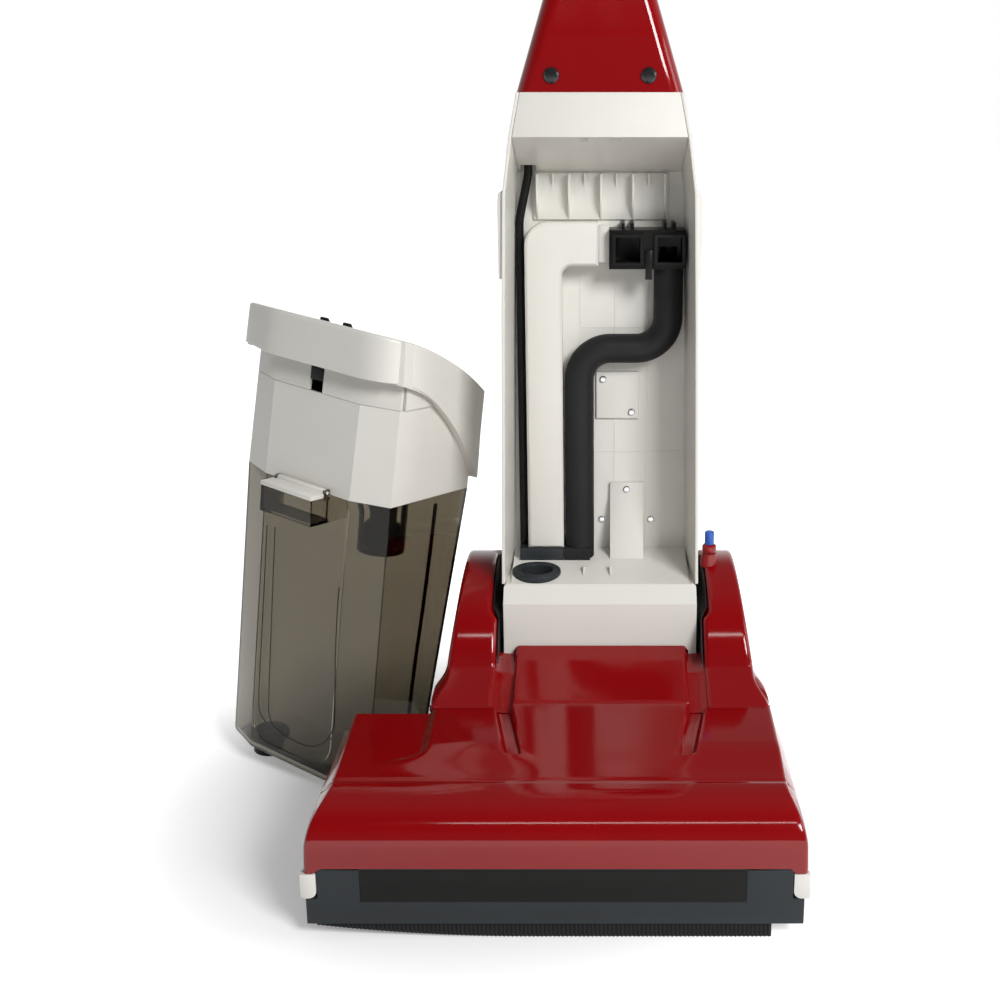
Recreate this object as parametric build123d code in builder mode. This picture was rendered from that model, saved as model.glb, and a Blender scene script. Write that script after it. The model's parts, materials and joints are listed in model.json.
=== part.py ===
from build123d import *
from math import atan2, cos, degrees, hypot, radians, sin, tan
import os

# Upright floor scrubber-dryer with its tank set lifted off and standing at its left.
# Millimetres, +Z up, the floor at Z = 0, the machine's front towards -Y.

# Place of the upright's mid-plane and of the bumper's front face in the shared frame
SPINE_X = 107.62
FRONT_Y = -225.25

# Shared wall and clearances
WALL = 3.0
SEAT_GAP = 0.2
RUN_GAP = 0.4
SHAFT_FIT = 0.05

# Floor head
HEAD_WIDTH = 420.0
HEAD_SHIFT = -37.0
COVER_DEPTH = 165.0
COVER_END_WALL = 9.0
COVER_SKIN = 4.0
COVER_END_ROUND = 16.0
ROLL_FACE = 19.0
ROLL_RADIUS = 35.0
DECK_RISE = 9.0
CREASE_PLACE = 50.0
CREASE_DEPTH = 1.2
BULGE_FRONT_WIDTH = 144.0
BULGE_HEIGHT = 10.0
SHOULDER_RISE = 6.0
SHOULDER_FLANK = 11.0
VALLEY_FLANK = 6.0

# Bumper, its strip and the ribbed lip under it
BUMPER_LOW = 14.0
BUMPER_HEIGHT = 51.0
BUMPER_THICK = 14.0
BUMPER_END_INSET = 4.0
STRIP_LEFT = 49.5
STRIP_RIGHT = 52.5
STRIP_HEIGHT = 29.0
STRIP_THICK = 3.0
STRIP_PROUD = 0.5
LIP_INSET = 11.0
LIP_RIGHT_INSET = 30.0
LIP_THICK = 6.0
LIP_SETBACK = 3.0
LIP_GRIP = 10.0
RIB_PITCH = 3.5
RIB_DEPTH = 1.2
LIP_CURL = 11.0
LIP_CURL_LENGTH = 176.0

# Roller brush and its drive
BRUSH_Y = 75.0
BRUSH_RADIUS = 45.5
BRUSH_LIFT = 0.5
BRUSH_CORE_RADIUS = 18.0
DRIVE_BAY = 37.2
BRUSH_SHAFT_RADIUS = 6.0
BRISTLE_ROWS = 12
BRISTLE_ROW_DEPTH = 9.0
BRUSH_END_GAP = 2.5
TUNNEL_GAP = 6.5
SHEET = 4.0
BELT_WIDTH = 9.0
BELT_THICK = 2.5
BRUSH_PULLEY_RADIUS = 22.0
MOTOR_PULLEY_RADIUS = 13.0
MOTOR_Y = 172.0
MOTOR_RADIUS = 30.0
MOTOR_LENGTH = 180.0
MOTOR_FOOT = 6.0
MOTOR_SHAFT_RADIUS = 5.0

# Chassis, rear squeegee, wheels and upright pivot
PLATFORM_HEIGHT = 40.0
PLATFORM_WIDTH = 290.0
BLADE_THICK = 4.0
BLADE_GRIP = 12.0
HOLDER_DEPTH = 22.0
HOLDER_DROP = 22.0
PIVOT_Y = 320.0
PIVOT_Z = 105.0
PIN_RADIUS = 10.0
PIN_REACH = 20.0
BRACKET_INNER = 102.0
BRACKET_THICK = 6.0
BRACKET_EYE = 22.0
WHEEL_Y = 365.0
WHEEL_RADIUS = 38.0
WHEEL_WIDTH = 28.0
TYRE_THICK = 9.0
AXLE_RADIUS = 5.0
WHEEL_SIDE_GAP = 3.0

# Pivot covers beside the upright and the bonnet between them
LOBE_INNER = 98.0
LOBE_OUTER = 152.0
LOBE_TOP = 240.0
LOBE_TOP_OUTER = 138.0
LOBE_CORNER = 10.0
LOBE_BACK = 415.0
LOBE_LOW = 60.0
LOBE_SILL = 140.0
LOBE_SKIN = 4.0
LOBE_NOTCH = 5.5
LOBE_NOTCH_LOW = 200.0
LOBE_NOTCH_BACK = 345.0
LEDGE_Y = 207.0
LEDGE_RISE = 28.0
BONNET_HALF = 83.0
BONNET_BACK_RISE = 28.0
BONNET_EDGE = 5.0

# Latches at the ends of the bumper and the adjuster on the right pivot cover
LATCH_TAB = 13.0
LATCH_LOW = 38.0
LATCH_HEIGHT = 22.0
LATCH_ARM = 80.0
LATCH_THICK = 4.0
LATCH_EYE_RADIUS = 4.5
LATCH_PIN_RADIUS = 2.0
KNOB_RADIUS = 4.7
KNOB_HEIGHT = 13.0
COLLAR_RADIUS = 7.0
COLLAR_HEIGHT = 8.0
KNOB_X = 108.0
KNOB_Y = 300.0

# Upright: lower block and the spine channel with its bay
BLOCK_HALF = 92.5
BLOCK_FRONT = 240.0
BLOCK_TOP = 222.0
BLOCK_BEVEL = 15.0
BLOCK_SKIRT = 150.0
DRUM_RADIUS = 57.0
FLOOR_RISE = 12.0
FLOOR_FIN_SETBACK = 13.0
FLOOR_FIN_LENGTH = 20.0
FLOOR_FIN_HEIGHT = 9.0
FLOOR_FIN_X = -3.5
FLOOR_FIN_PITCH = 26.0
BAY_DEPTH = 78.0
BAY_TAPER = 4.0
BACK_WALL = 3.0
SPINE_LOW_HALF = 94.5
SPINE_MID_HALF = 90.0
SPINE_EAR_HALF = 87.5
SPINE_BAND_HALF = 81.0
SPINE_TOP_HALF = 73.5
SPINE_MID_Z = 480.0
SPINE_EAR_Z = 590.0
BAND_LOW = 639.0
BAND_TOP = 677.0
CEILING_DROP = 34.0
EAR_LOW = 514.0
EAR_THICK = 4.5
EAR_DEPTH = 30.0
REAR_COVER_DEPTH = 28.0
REAR_COVER_TAPER = 14.0

# Fittings in the bay
FIN_PITCH = 30.0
FIN_COUNT = 5
FIN_SHIFT = 1.0
FIN_THICK = 2.0
FIN_DEPTH = 14.0
FIN_HEIGHT = 43.0
DUCT_LEFT = -71.0
DUCT_WIDTH = 35.0
DUCT_DEPTH = 27.0
DUCT_TOP = 560.0
DUCT_LEG = 40.0
DUCT_WALL = 2.5
DUCT_ROUND = 22.0
DUCT_INNER_ROUND = 10.0
DUCT_COLLAR = 10.0
DUCT_COLLAR_STEP = 3.5
FOOT_TOP = 242.0
FOOT_LEFT = -79.5
PORT_SIZE = 23.0
PORT_LEFT = 26.0
PORT_PITCH = 39.0
PORT_Z = 536.0
PORT_DEPTH = 30.0
MANIFOLD_DEPTH = 36.0
MANIFOLD_HEIGHT = 36.0
MANIFOLD_WALL = 3.0
HOSE_RADIUS = 14.0
HOSE_WALL = 2.5
HOSE_BEND = 30.0
HOSE_CROSS_Z = 440.0
HOSE_LOW_X = -20.0
HOSE_ENTRY = 10.0
HOSE_COLLAR_WIDTH = 26.0
CABLE_RADIUS = 4.0
CABLE_BEND = 45.0
CABLE_TOP_X = -67.0
CABLE_LOW_X = -76.0
CABLE_SETBACK = 9.0
SOCKET_X = -62.0
SOCKET_SETBACK = 40.0
SOCKET_RADIUS = 22.0
SOCKET_BORE = 15.5
SOCKET_DEPTH = 22.0
SOCKET_RISE = 7.0
SOCKET_FLANGE = 1.5
PLATE_LEFT = -4.0
PLATE_LOW = 368.0
PLATE_WIDTH = 42.0
PLATE_HEIGHT = 47.0
PLATE_THICK = 3.0
GUSSET_LEFT = 10.0
GUSSET_WIDTH = 33.0
GUSSET_TOP = 303.0
GUSSET_FOOT = 25.0
GUSSET_TIP = 4.0
GUSSET_SCREW_Z = 264.0
GUSSET_SCREW_GAP = 8.0
SCREW_RADIUS = 3.2
SCREW_HEAD = 2.2

# Vacuum motor and fan in the block's drum
VAC_RADIUS = 50.0
VAC_HALF = 66.0
FAN_CHAMBER = 40.0
FAN_RADIUS = 42.0
FAN_BLADES = 8
FAN_SHAFT_RADIUS = 4.0

# Neck, handle and its controls
NECK_TOP = 870.0
NECK_TOP_WIDTH = 52.0
NECK_TOP_DEPTH = 40.0
NECK_ROUND = 14.0
NECK_WALL = 3.5
TUBE_WIDTH = 36.0
TUBE_DEPTH = 28.0
TUBE_WALL = 2.0
TUBE_Y = 318.0
TUBE_ENTRY = 40.0
GRIP_BASE_Z = 985.0
GRIP_TOP = 1125.0
GRIP_DEPTH = 98.0
GRIP_HALF = 16.0
GRIP_BAR = 25.0
GRIP_EDGE = 6.0
GRIP_BASE_HEIGHT = 40.0
TRIGGER_LENGTH = 40.0
TRIGGER_HALF = 7.0
TRIGGER_PIN_RADIUS = 2.5
ROCKER_WIDTH = 10.0
ROCKER_HEIGHT = 22.0
ROCKER_DEPTH = 7.0
ROCKER_PIN_RADIUS = 1.5
NECK_SCREW_RADIUS = 7.0
NECK_SCREW_X = 42.5
NECK_SCREW_Z = 691.0
HOOK_PEG_RADIUS = 7.0
HOOK_REACH = 26.0
HOOK_LENGTH = 46.0
HOOK_LOW_Z = 420.0
HOOK_HIGH_Z = 610.0
GLAND_RADIUS = 9.0
CORD_RADIUS = 4.0

# Tank set: its stance on the floor and its main sizes
TANK_X = -319.0
TANK_Y = 284.0
TANK_YAW = 32.7
TANK_LEAN = 6.0
TANK_TIP = 3.5
TANK_HALF = 93.5
TANK_CREASE = 55.0
TANK_FACET = 15.0
TANK_BOTTOM_DEPTH = 96.0
TANK_DEPTH = 132.0
TANK_SPLIT = 299.0
TANK_SEAM = 392.0
TANK_WALL = 2.5
UPPER_DRAFT = 3.3
UPPER_SIDE_DRAFT = 1.1
PANEL_LOW = 14.0
PANEL_ROUND = 27.0
PANEL_GROOVE = 1.0
SOLE_INSET = 4.0
SOLE_HEIGHT = 5.0
HOOD_OVERHANG = 6.5
HOOD_LOW = 420.5
HOOD_TOP = 463.0
HOOD_SHOULDER = 400.0
HOOD_CROWN = 10.0
HOOD_CHEEK_LOW = 311.0
HOOD_CHEEK_BOW = 27.0
HOOD_SKIN = 4.0
HOOD_DRAFT = 3.0
HOOD_CORNER = 16.0
HOOD_BLEND = 60.0
LATCH_SHIFT = -0.5
HOOK_SETBACK = 24.0
HOOK_PITCH = 29.0
HOOK_WIDTH = 8.0
HOOK_THICK = 3.0
HOOK_DROP = 3.5
HOOK_BARB = 4.0
HOOK_BARB_HEIGHT = 6.0
HOOK_SLOT_DEPTH = 16.0
TANK_LATCH_TRAVEL = 8.0
TANK_LATCH_WIDTH = 34.0
FINGER_SLOT = 17.0
FINGER_SLOT_HEIGHT = 25.0
FINGER_SHIFT = 1.0
FINGER_HEIGHT = 12.0
SPOUT_CENTRE = -2.0
SPOUT_WIDTH = 66.0
SPOUT_REACH = 25.0
SPOUT_HEIGHT = 26.0
FLAP_THICK = 4.0
FLAP_PIN_RADIUS = 1.5
FLAP_BARREL_RADIUS = 3.2
FLOAT_X = 44.0
FLOAT_Y = 62.0
CAGE_RADIUS = 24.5
CAGE_LENGTH = 64.0
FLOAT_RADIUS = 19.0
FLOAT_LENGTH = 26.0
SPIGOT_X = -62.0
SPIGOT_Y = 34.0
SPIGOT_RADIUS = 15.0
SPIGOT_BORE = 11.0
SPIGOT_FLANGE = 21.0
SPIGOT_FLANGE_THICK = 4.0
VALVE_STEM_RADIUS = 4.0
VALVE_DISC_RADIUS = 14.0
SEAL_THICK = 3.0

# Values that follow from the sizes above
HEAD = Plane(origin=(SPINE_X, FRONT_Y, 0))
HEAD_LEFT = HEAD_SHIFT - HEAD_WIDTH / 2
HEAD_RIGHT = HEAD_SHIFT + HEAD_WIDTH / 2
BUMPER_TOP = BUMPER_LOW + BUMPER_HEIGHT
COVER_LOW = BUMPER_TOP + RUN_GAP
ROLL_SPRING = COVER_LOW + ROLL_FACE
ROLL_TOP = ROLL_SPRING + ROLL_RADIUS
DECK_BACK = ROLL_TOP + DECK_RISE
DECK_SLOPE = degrees(atan2(DECK_RISE, COVER_DEPTH - ROLL_RADIUS))
SEAM_Y = COVER_DEPTH + RUN_GAP
LEDGE_Z = DECK_BACK + LEDGE_RISE
SHOULDER_BACK = DECK_BACK + SHOULDER_RISE
LEDGE_SLOPE = (LEDGE_Z - SHOULDER_BACK) / (LEDGE_Y - SEAM_Y)
BRUSH_Z = BRUSH_RADIUS + BRUSH_LIFT
TUNNEL_FRONT = BUMPER_THICK
TUNNEL_BACK = BRUSH_Y + BRUSH_RADIUS + TUNNEL_GAP
TUNNEL_TOP = BRUSH_Z + BRUSH_RADIUS + TUNNEL_GAP
CHASSIS_LEFT = HEAD_LEFT + COVER_END_WALL + RUN_GAP
CHASSIS_RIGHT = HEAD_RIGHT - COVER_END_WALL - RUN_GAP
BRUSH_LEFT = CHASSIS_LEFT + SHEET + BRUSH_END_GAP
BEARING_X = CHASSIS_RIGHT - DRIVE_BAY
BRUSH_RIGHT = BEARING_X - BRUSH_END_GAP
BRUSH_LENGTH = BRUSH_RIGHT - BRUSH_LEFT
BELT_X = BEARING_X + SHEET + BRUSH_END_GAP
PLATFORM_TOP = PLATFORM_HEIGHT + SHEET
MOTOR_Z = PLATFORM_TOP + MOTOR_FOOT + MOTOR_RADIUS
MOTOR_RIGHT = BEARING_X + SHEET - RUN_GAP
MOTOR_LEFT = MOTOR_RIGHT - MOTOR_LENGTH
BLOCK_TOP_FRONT = BLOCK_FRONT + BLOCK_BEVEL
BAY_FRONT = BLOCK_TOP_FRONT
BAY_BACK = BAY_FRONT + BAY_DEPTH
BAY_LEAN = tan(radians(BAY_TAPER))
FLOOR_BACK = BLOCK_TOP + FLOOR_RISE
SPINE_BACK = BAY_BACK + BACK_WALL
CEILING_LOW = BAND_LOW - CEILING_DROP
SOCKET_Y = BLOCK_FRONT + SOCKET_SETBACK
HOSE_X = PORT_LEFT + PORT_PITCH
HOSE_Y = BAY_BACK - SEAT_GAP - HOSE_RADIUS
CABLE_Y = BAY_BACK - CABLE_SETBACK
LATCH_PIN_Y = LATCH_ARM
NECK_DEPTH = BAY_DEPTH + BACK_WALL


def level(frame, height):
    """Level plane of a frame: x to the right, y to the back."""
    return frame.offset(height)


def side(frame, across):
    """Upright plane seen from the right: x runs back, y runs up."""
    return Plane(frame.from_local_coords((across, 0, 0)), x_dir=frame.y_dir, z_dir=frame.x_dir)


def facing(frame, depth):
    """Upright plane seen from the front: x to the right, y up, its normal towards the front."""
    return Plane(frame.from_local_coords((0, depth, 0)), x_dir=frame.x_dir, z_dir=-frame.y_dir)


def outline(plane, *points):
    """Straight-edged face."""
    with BuildSketch(plane) as face:
        Polygon(*points)
    return face.sketch


def disc(plane, centre, radius):
    """Round face."""
    with BuildSketch(plane) as face:
        with Locations(centre):
            Circle(radius)
    return face.sketch


def slab(frame, x, y, z, mode=Mode.ADD):
    """Box between two limits along each axis of a frame."""
    corners = [(x[0], y[0]), (x[1], y[0]), (x[1], y[1]), (x[0], y[1])]
    extrude(outline(level(frame, z[0]), *corners), amount=z[1] - z[0], mode=mode)


def bar(frame, x, centre, radius, mode=Mode.ADD):
    """Round bar along the frame's x axis."""
    extrude(disc(side(frame, x[0]), centre, radius), amount=x[1] - x[0], mode=mode)


def post(frame, centre, radius, z, mode=Mode.ADD):
    """Round post along the frame's z axis."""
    extrude(disc(level(frame, z[0]), centre, radius), amount=z[1] - z[0], mode=mode)


def stud(frame, centre, radius, y, mode=Mode.ADD):
    """Round stud along the frame's y axis, from front to back."""
    extrude(disc(facing(frame, y[1]), centre, radius), amount=y[1] - y[0], mode=mode)


def both(value):
    """A value on the left and on the right."""
    return (-value, value)


def save(piece, name):
    """Name a finished piece and write it."""
    piece.part.label = name
    export_step(piece.part, f"parts/{name}.step")


os.makedirs("parts", exist_ok=True)


# Front cover: the roll over the brush, the deck and its raised middle

def deck_height(depth):
    """Height of the deck at a depth behind the bumper's face."""
    return ROLL_TOP + (depth - ROLL_RADIUS) * tan(radians(DECK_SLOPE))


def roll_profile(across, inset, low, back):
    """Roll and deck seen from the side, drawn inset from the outer skin."""
    with BuildSketch(side(HEAD, across)) as profile:
        with BuildLine():
            face = Line((inset, low), (inset, ROLL_SPRING))
            roll = JernArc(face @ 1, (0, 1), ROLL_RADIUS - inset, DECK_SLOPE - 90)
            deck = Line(roll @ 1, (back, (roll @ 1).Y + (back - (roll @ 1).X) * tan(radians(DECK_SLOPE))))
            Polyline(deck @ 1, (back, low), face @ 0)
        make_face()
    return profile.sketch


def shoulder_face(depth, inner, outer, rise):
    """Front outline of a shoulder at a depth, standing on the deck."""
    hand = 1 if outer > 0 else -1
    deck = deck_height(depth)
    return outline(
        facing(HEAD, depth),
        (inner + hand * (LOBE_INNER - BONNET_HALF - VALLEY_FLANK), deck - COVER_SKIN),
        (inner + hand * (LOBE_INNER - BONNET_HALF), deck + rise),
        (outer, deck + rise),
        (outer + hand * SHOULDER_FLANK, deck - SHOULDER_FLANK + rise),
    )


def shoulder(inner, outer):
    """Shoulder in front of a pivot cover, running out at the crease."""
    crease = CREASE_PLACE + 2 * CREASE_DEPTH
    loft(
        [
            shoulder_face(crease, inner, outer, -CREASE_DEPTH),
            shoulder_face(COVER_DEPTH, inner, outer, SHOULDER_RISE),
        ],
        ruled=True,
    )


with BuildPart() as front_cover:
    extrude(roll_profile(HEAD_LEFT, 0, COVER_LOW, COVER_DEPTH), amount=HEAD_WIDTH)
    ends = front_cover.faces().filter_by(Axis.X)
    rims = ends.edges().filter_by(lambda e: e.center().Z > COVER_LOW + 1)
    fillet(rims.filter_by(lambda e: e.center().Y < FRONT_Y + COVER_DEPTH - 1), COVER_END_ROUND)
    bulge_start = CREASE_PLACE + CREASE_DEPTH
    loft([
        outline(
            facing(HEAD, bulge_start),
            (-BULGE_FRONT_WIDTH / 2, deck_height(bulge_start) - COVER_SKIN),
            (BULGE_FRONT_WIDTH / 2, deck_height(bulge_start) - COVER_SKIN),
            (BULGE_FRONT_WIDTH / 2 - BONNET_EDGE, deck_height(bulge_start)),
            (BONNET_EDGE - BULGE_FRONT_WIDTH / 2, deck_height(bulge_start)),
        ),
        outline(
            facing(HEAD, COVER_DEPTH),
            (-BONNET_HALF, DECK_BACK - COVER_SKIN),
            (BONNET_HALF, DECK_BACK - COVER_SKIN),
            (BONNET_HALF - BONNET_EDGE, DECK_BACK + BULGE_HEIGHT),
            (BONNET_EDGE - BONNET_HALF, DECK_BACK + BULGE_HEIGHT),
        ),
    ], ruled=True)
    for inner, outer in ((-BONNET_HALF, -LOBE_OUTER), (BONNET_HALF, HEAD_RIGHT - COVER_END_ROUND)):
        shoulder(inner, outer)
    groove = deck_height(CREASE_PLACE)
    extrude(
        outline(
            side(HEAD, HEAD_LEFT),
            (CREASE_PLACE - 2 * CREASE_DEPTH, groove + CREASE_DEPTH),
            (CREASE_PLACE, groove - CREASE_DEPTH),
            (CREASE_PLACE + 2 * CREASE_DEPTH, groove + CREASE_DEPTH),
        ),
        amount=HEAD_WIDTH,
        mode=Mode.SUBTRACT,
    )
    extrude(
        roll_profile(HEAD_LEFT + COVER_END_WALL, COVER_SKIN, COVER_LOW - WALL, COVER_DEPTH - WALL),
        amount=HEAD_WIDTH - 2 * COVER_END_WALL,
        mode=Mode.SUBTRACT,
    )
    slab(
        HEAD,
        (MOTOR_LEFT - WALL, BELT_X + BELT_WIDTH + WALL),
        (COVER_DEPTH - 2 * WALL, COVER_DEPTH + WALL),
        (COVER_LOW - WALL, DECK_BACK - COVER_SKIN - WALL),
        Mode.SUBTRACT,
    )
save(front_cover, "front_cover")


# Bonnet behind the front cover, between the two pivot covers
BONNET_BACK = BLOCK_FRONT - 2.0
BONNET_FRONT_Z = DECK_BACK + BULGE_HEIGHT
BONNET_BACK_Z = BONNET_FRONT_Z + BONNET_BACK_RISE
BONNET_LOW = MOTOR_Z + MOTOR_RADIUS + WALL

with BuildPart() as bonnet:
    extrude(
        outline(
            side(HEAD, -BONNET_HALF),
            (SEAM_Y, BONNET_LOW),
            (BONNET_BACK, BONNET_LOW),
            (BONNET_BACK, BONNET_BACK_Z),
            (SEAM_Y, BONNET_FRONT_Z),
        ),
        amount=2 * BONNET_HALF,
    )
    flanks = bonnet.faces().filter_by(Axis.X)
    shoulders = flanks.edges().filter_by(lambda e: e.center().Z > BONNET_FRONT_Z)
    chamfer(shoulders, BONNET_EDGE)
    extrude(
        outline(
            side(HEAD, COVER_SKIN - BONNET_HALF),
            (SEAM_Y + COVER_SKIN, BONNET_LOW - WALL),
            (BONNET_BACK - COVER_SKIN, BONNET_LOW - WALL),
            (BONNET_BACK - COVER_SKIN, BONNET_BACK_Z - 2 * COVER_SKIN),
            (SEAM_Y + COVER_SKIN, BONNET_FRONT_Z - 2 * COVER_SKIN),
        ),
        amount=2 * (BONNET_HALF - COVER_SKIN),
        mode=Mode.SUBTRACT,
    )
save(bonnet, "bonnet")


# Pivot covers: rounded fenders over the wheels and the upright's pivot

def lobe_body(inset):
    """A fender's form, drawn inset from the outer skin and open below and in front."""
    low = LOBE_LOW - 3 * inset
    seam = SEAM_Y - 3 * inset
    top = LOBE_TOP - inset
    ledge = LEDGE_Z - inset
    ledge_front = ledge - (LEDGE_Y + inset - seam) * LEDGE_SLOPE
    with BuildPart() as body:
        with BuildSketch(side(HEAD, -LOBE_OUTER - WALL)):
            with BuildLine():
                Polyline((LEDGE_Y + inset, ledge), (seam, ledge_front), (seam, low))
                Polyline((seam, low), (LOBE_BACK - inset, low), (LOBE_BACK - inset, LOBE_SILL))
                Spline(
                    (LEDGE_Y + inset, ledge),
                    (PIVOT_Y - inset / 2, top),
                    tangents=[(0.35, 1), (1, 0)],
                )
                Spline(
                    (PIVOT_Y - inset / 2, top),
                    (LOBE_BACK - inset, LOBE_SILL),
                    tangents=[(1, 0), (0, -1)],
                )
            make_face()
        extrude(amount=LOBE_OUTER - LOBE_INNER + WALL - inset)
        with BuildSketch(facing(HEAD, 2 * LOBE_BACK)):
            with BuildLine():
                outer = inset - LOBE_OUTER
                flank = FilletPolyline(
                    (-LOBE_INNER, top + WALL / 2),
                    (inset - LOBE_TOP_OUTER, top + WALL / 2),
                    (outer, DECK_BACK),
                    radius=LOBE_CORNER,
                )
                Polyline(flank @ 1, (outer, low), (-LOBE_INNER, low), flank @ 0)
            make_face()
        extrude(amount=2 * LOBE_BACK, mode=Mode.INTERSECT)
    return body.part


lobe_skin = lobe_body(0)
lobe_core = lobe_body(LOBE_SKIN)

with BuildPart() as left_pivot_cover:
    add(lobe_skin)
    extrude(
        outline(
            side(HEAD, -LOBE_INNER),
            (SEAM_Y, BONNET_LOW),
            (SEAM_Y, DECK_BACK),
            (LEDGE_Y, LEDGE_Z - SHOULDER_RISE),
            (BONNET_BACK, LEDGE_Z),
            (BONNET_BACK, BONNET_LOW),
        ),
        amount=LOBE_INNER - BONNET_HALF - SEAT_GAP,
    )
    add(lobe_core, mode=Mode.SUBTRACT)
    slab(
        HEAD,
        (-LOBE_INNER - LOBE_NOTCH, WALL - LOBE_INNER),
        (BLOCK_FRONT, LOBE_NOTCH_BACK),
        (LOBE_NOTCH_LOW, LOBE_TOP + WALL),
        Mode.SUBTRACT,
    )
    inner_wall = (-LOBE_INNER - LOBE_SKIN - WALL, WALL - LOBE_INNER)
    slab(HEAD, inner_wall, (SEAM_Y - WALL, BLOCK_FRONT), (LOBE_LOW - WALL, BONNET_LOW), Mode.SUBTRACT)
    slab(HEAD, inner_wall, (BLOCK_FRONT, LOBE_BACK + WALL), (LOBE_LOW - WALL, LOBE_SILL), Mode.SUBTRACT)
save(left_pivot_cover, "left_pivot_cover")

with BuildPart() as right_pivot_cover:
    mirror(left_pivot_cover.part, about=side(HEAD, 0))
    knob_hole = (LOBE_TOP - 2 * LOBE_SKIN, LOBE_TOP + WALL)
    post(HEAD, (KNOB_X, KNOB_Y), COLLAR_RADIUS / 2, knob_hole, Mode.SUBTRACT)
save(right_pivot_cover, "right_pivot_cover")


# Chassis: brush tunnel, platform for the motor and brackets for the pivot and wheels
BRACKET_FRONT = BLOCK_FRONT + BRACKET_THICK
BRACKET_BACK = WHEEL_Y + BRACKET_EYE
BRACKET_LOW = WHEEL_RADIUS - 3 * AXLE_RADIUS
BRACKET_TOP = PIVOT_Z + 2 * BRACKET_EYE

with BuildPart() as chassis:
    extrude(
        outline(
            side(HEAD, CHASSIS_LEFT),
            (TUNNEL_FRONT, BUMPER_LOW + SHEET),
            (TUNNEL_FRONT, TUNNEL_TOP + SHEET),
            (TUNNEL_BACK + SHEET, TUNNEL_TOP + SHEET),
            (TUNNEL_BACK + SHEET, PLATFORM_HEIGHT),
            (TUNNEL_BACK, PLATFORM_HEIGHT),
            (TUNNEL_BACK, TUNNEL_TOP),
            (TUNNEL_FRONT + SHEET, TUNNEL_TOP),
            (TUNNEL_FRONT + SHEET, BUMPER_LOW + SHEET),
        ),
        amount=CHASSIS_RIGHT - CHASSIS_LEFT,
    )
    plate_z = (BUMPER_LOW + SHEET, TUNNEL_TOP)
    for plate_x in (CHASSIS_LEFT, BEARING_X, CHASSIS_RIGHT - SHEET):
        slab(HEAD, (plate_x, plate_x + SHEET), (TUNNEL_FRONT, TUNNEL_BACK), plate_z)
    slab(HEAD, both(PLATFORM_WIDTH / 2), (TUNNEL_BACK, BRACKET_FRONT), (PLATFORM_HEIGHT, PLATFORM_TOP))
    bracket_outer = BRACKET_INNER + BRACKET_THICK
    slab(HEAD, both(bracket_outer), (BRACKET_FRONT, PIVOT_Y), (PLATFORM_HEIGHT, PLATFORM_TOP))
    for bracket_x in (-bracket_outer, BRACKET_INNER):
        extrude(
            outline(
                side(HEAD, bracket_x),
                (BRACKET_FRONT, PLATFORM_HEIGHT),
                (WHEEL_Y - BRACKET_EYE, BRACKET_LOW),
                (BRACKET_BACK, BRACKET_LOW),
                (BRACKET_BACK, WHEEL_RADIUS + BRACKET_EYE),
                (PIVOT_Y + BRACKET_EYE, BRACKET_TOP),
                (PIVOT_Y - BRACKET_EYE, BRACKET_TOP),
                (BRACKET_FRONT, PLATFORM_TOP + BRACKET_EYE),
            ),
            amount=BRACKET_THICK,
        )
    bracket_span = both(bracket_outer + WALL)
    bar(HEAD, bracket_span, (PIVOT_Y, PIVOT_Z), PIN_RADIUS + SHAFT_FIT, Mode.SUBTRACT)
    bar(HEAD, bracket_span, (WHEEL_Y, WHEEL_RADIUS), AXLE_RADIUS + SHAFT_FIT, Mode.SUBTRACT)
    brush_span = (CHASSIS_LEFT - WALL, BELT_X)
    bar(HEAD, brush_span, (BRUSH_Y, BRUSH_Z), BRUSH_SHAFT_RADIUS + SHAFT_FIT, Mode.SUBTRACT)
    slab(
        HEAD,
        (BEARING_X + SHEET, CHASSIS_RIGHT - SHEET),
        (TUNNEL_BACK - WALL, TUNNEL_BACK + HOLDER_DEPTH),
        (PLATFORM_HEIGHT - WALL, TUNNEL_TOP),
        Mode.SUBTRACT,
    )
    for lug_x, reach in ((CHASSIS_LEFT, -1), (CHASSIS_RIGHT, 1)):
        lug_end = HEAD_LEFT if reach < 0 else HEAD_RIGHT
        lug_span = sorted((lug_x - reach * SHEET, lug_end - reach))
        pin_x = lug_end - reach * LATCH_EYE_RADIUS
        for lug_z in (LATCH_LOW - RUN_GAP - SHEET, LATCH_LOW + LATCH_HEIGHT + RUN_GAP):
            slab(
                HEAD,
                lug_span,
                (LATCH_PIN_Y - LATCH_EYE_RADIUS, LATCH_PIN_Y + LATCH_EYE_RADIUS),
                (lug_z, lug_z + SHEET),
            )
        post(
            HEAD,
            (pin_x, LATCH_PIN_Y),
            LATCH_PIN_RADIUS,
            (LATCH_LOW - RUN_GAP - SHEET, LATCH_LOW + LATCH_HEIGHT + RUN_GAP + SHEET),
        )
save(chassis, "chassis")


# Bumper with notched ends, a pocket for its strip and a slot for the lip
STRIP_X = HEAD_LEFT + STRIP_LEFT
STRIP_WIDTH = HEAD_WIDTH - STRIP_LEFT - STRIP_RIGHT
STRIP_TOP = BUMPER_TOP - STRIP_THICK / 3
LIP_X = HEAD_LEFT + LIP_INSET
LIP_LENGTH = HEAD_WIDTH - LIP_INSET - LIP_RIGHT_INSET
BUMPER_LEFT = HEAD_LEFT + BUMPER_END_INSET
BUMPER_RIGHT = HEAD_RIGHT - BUMPER_END_INSET
NOTCH = LATCH_TAB + 2 * RUN_GAP - BUMPER_END_INSET

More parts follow.
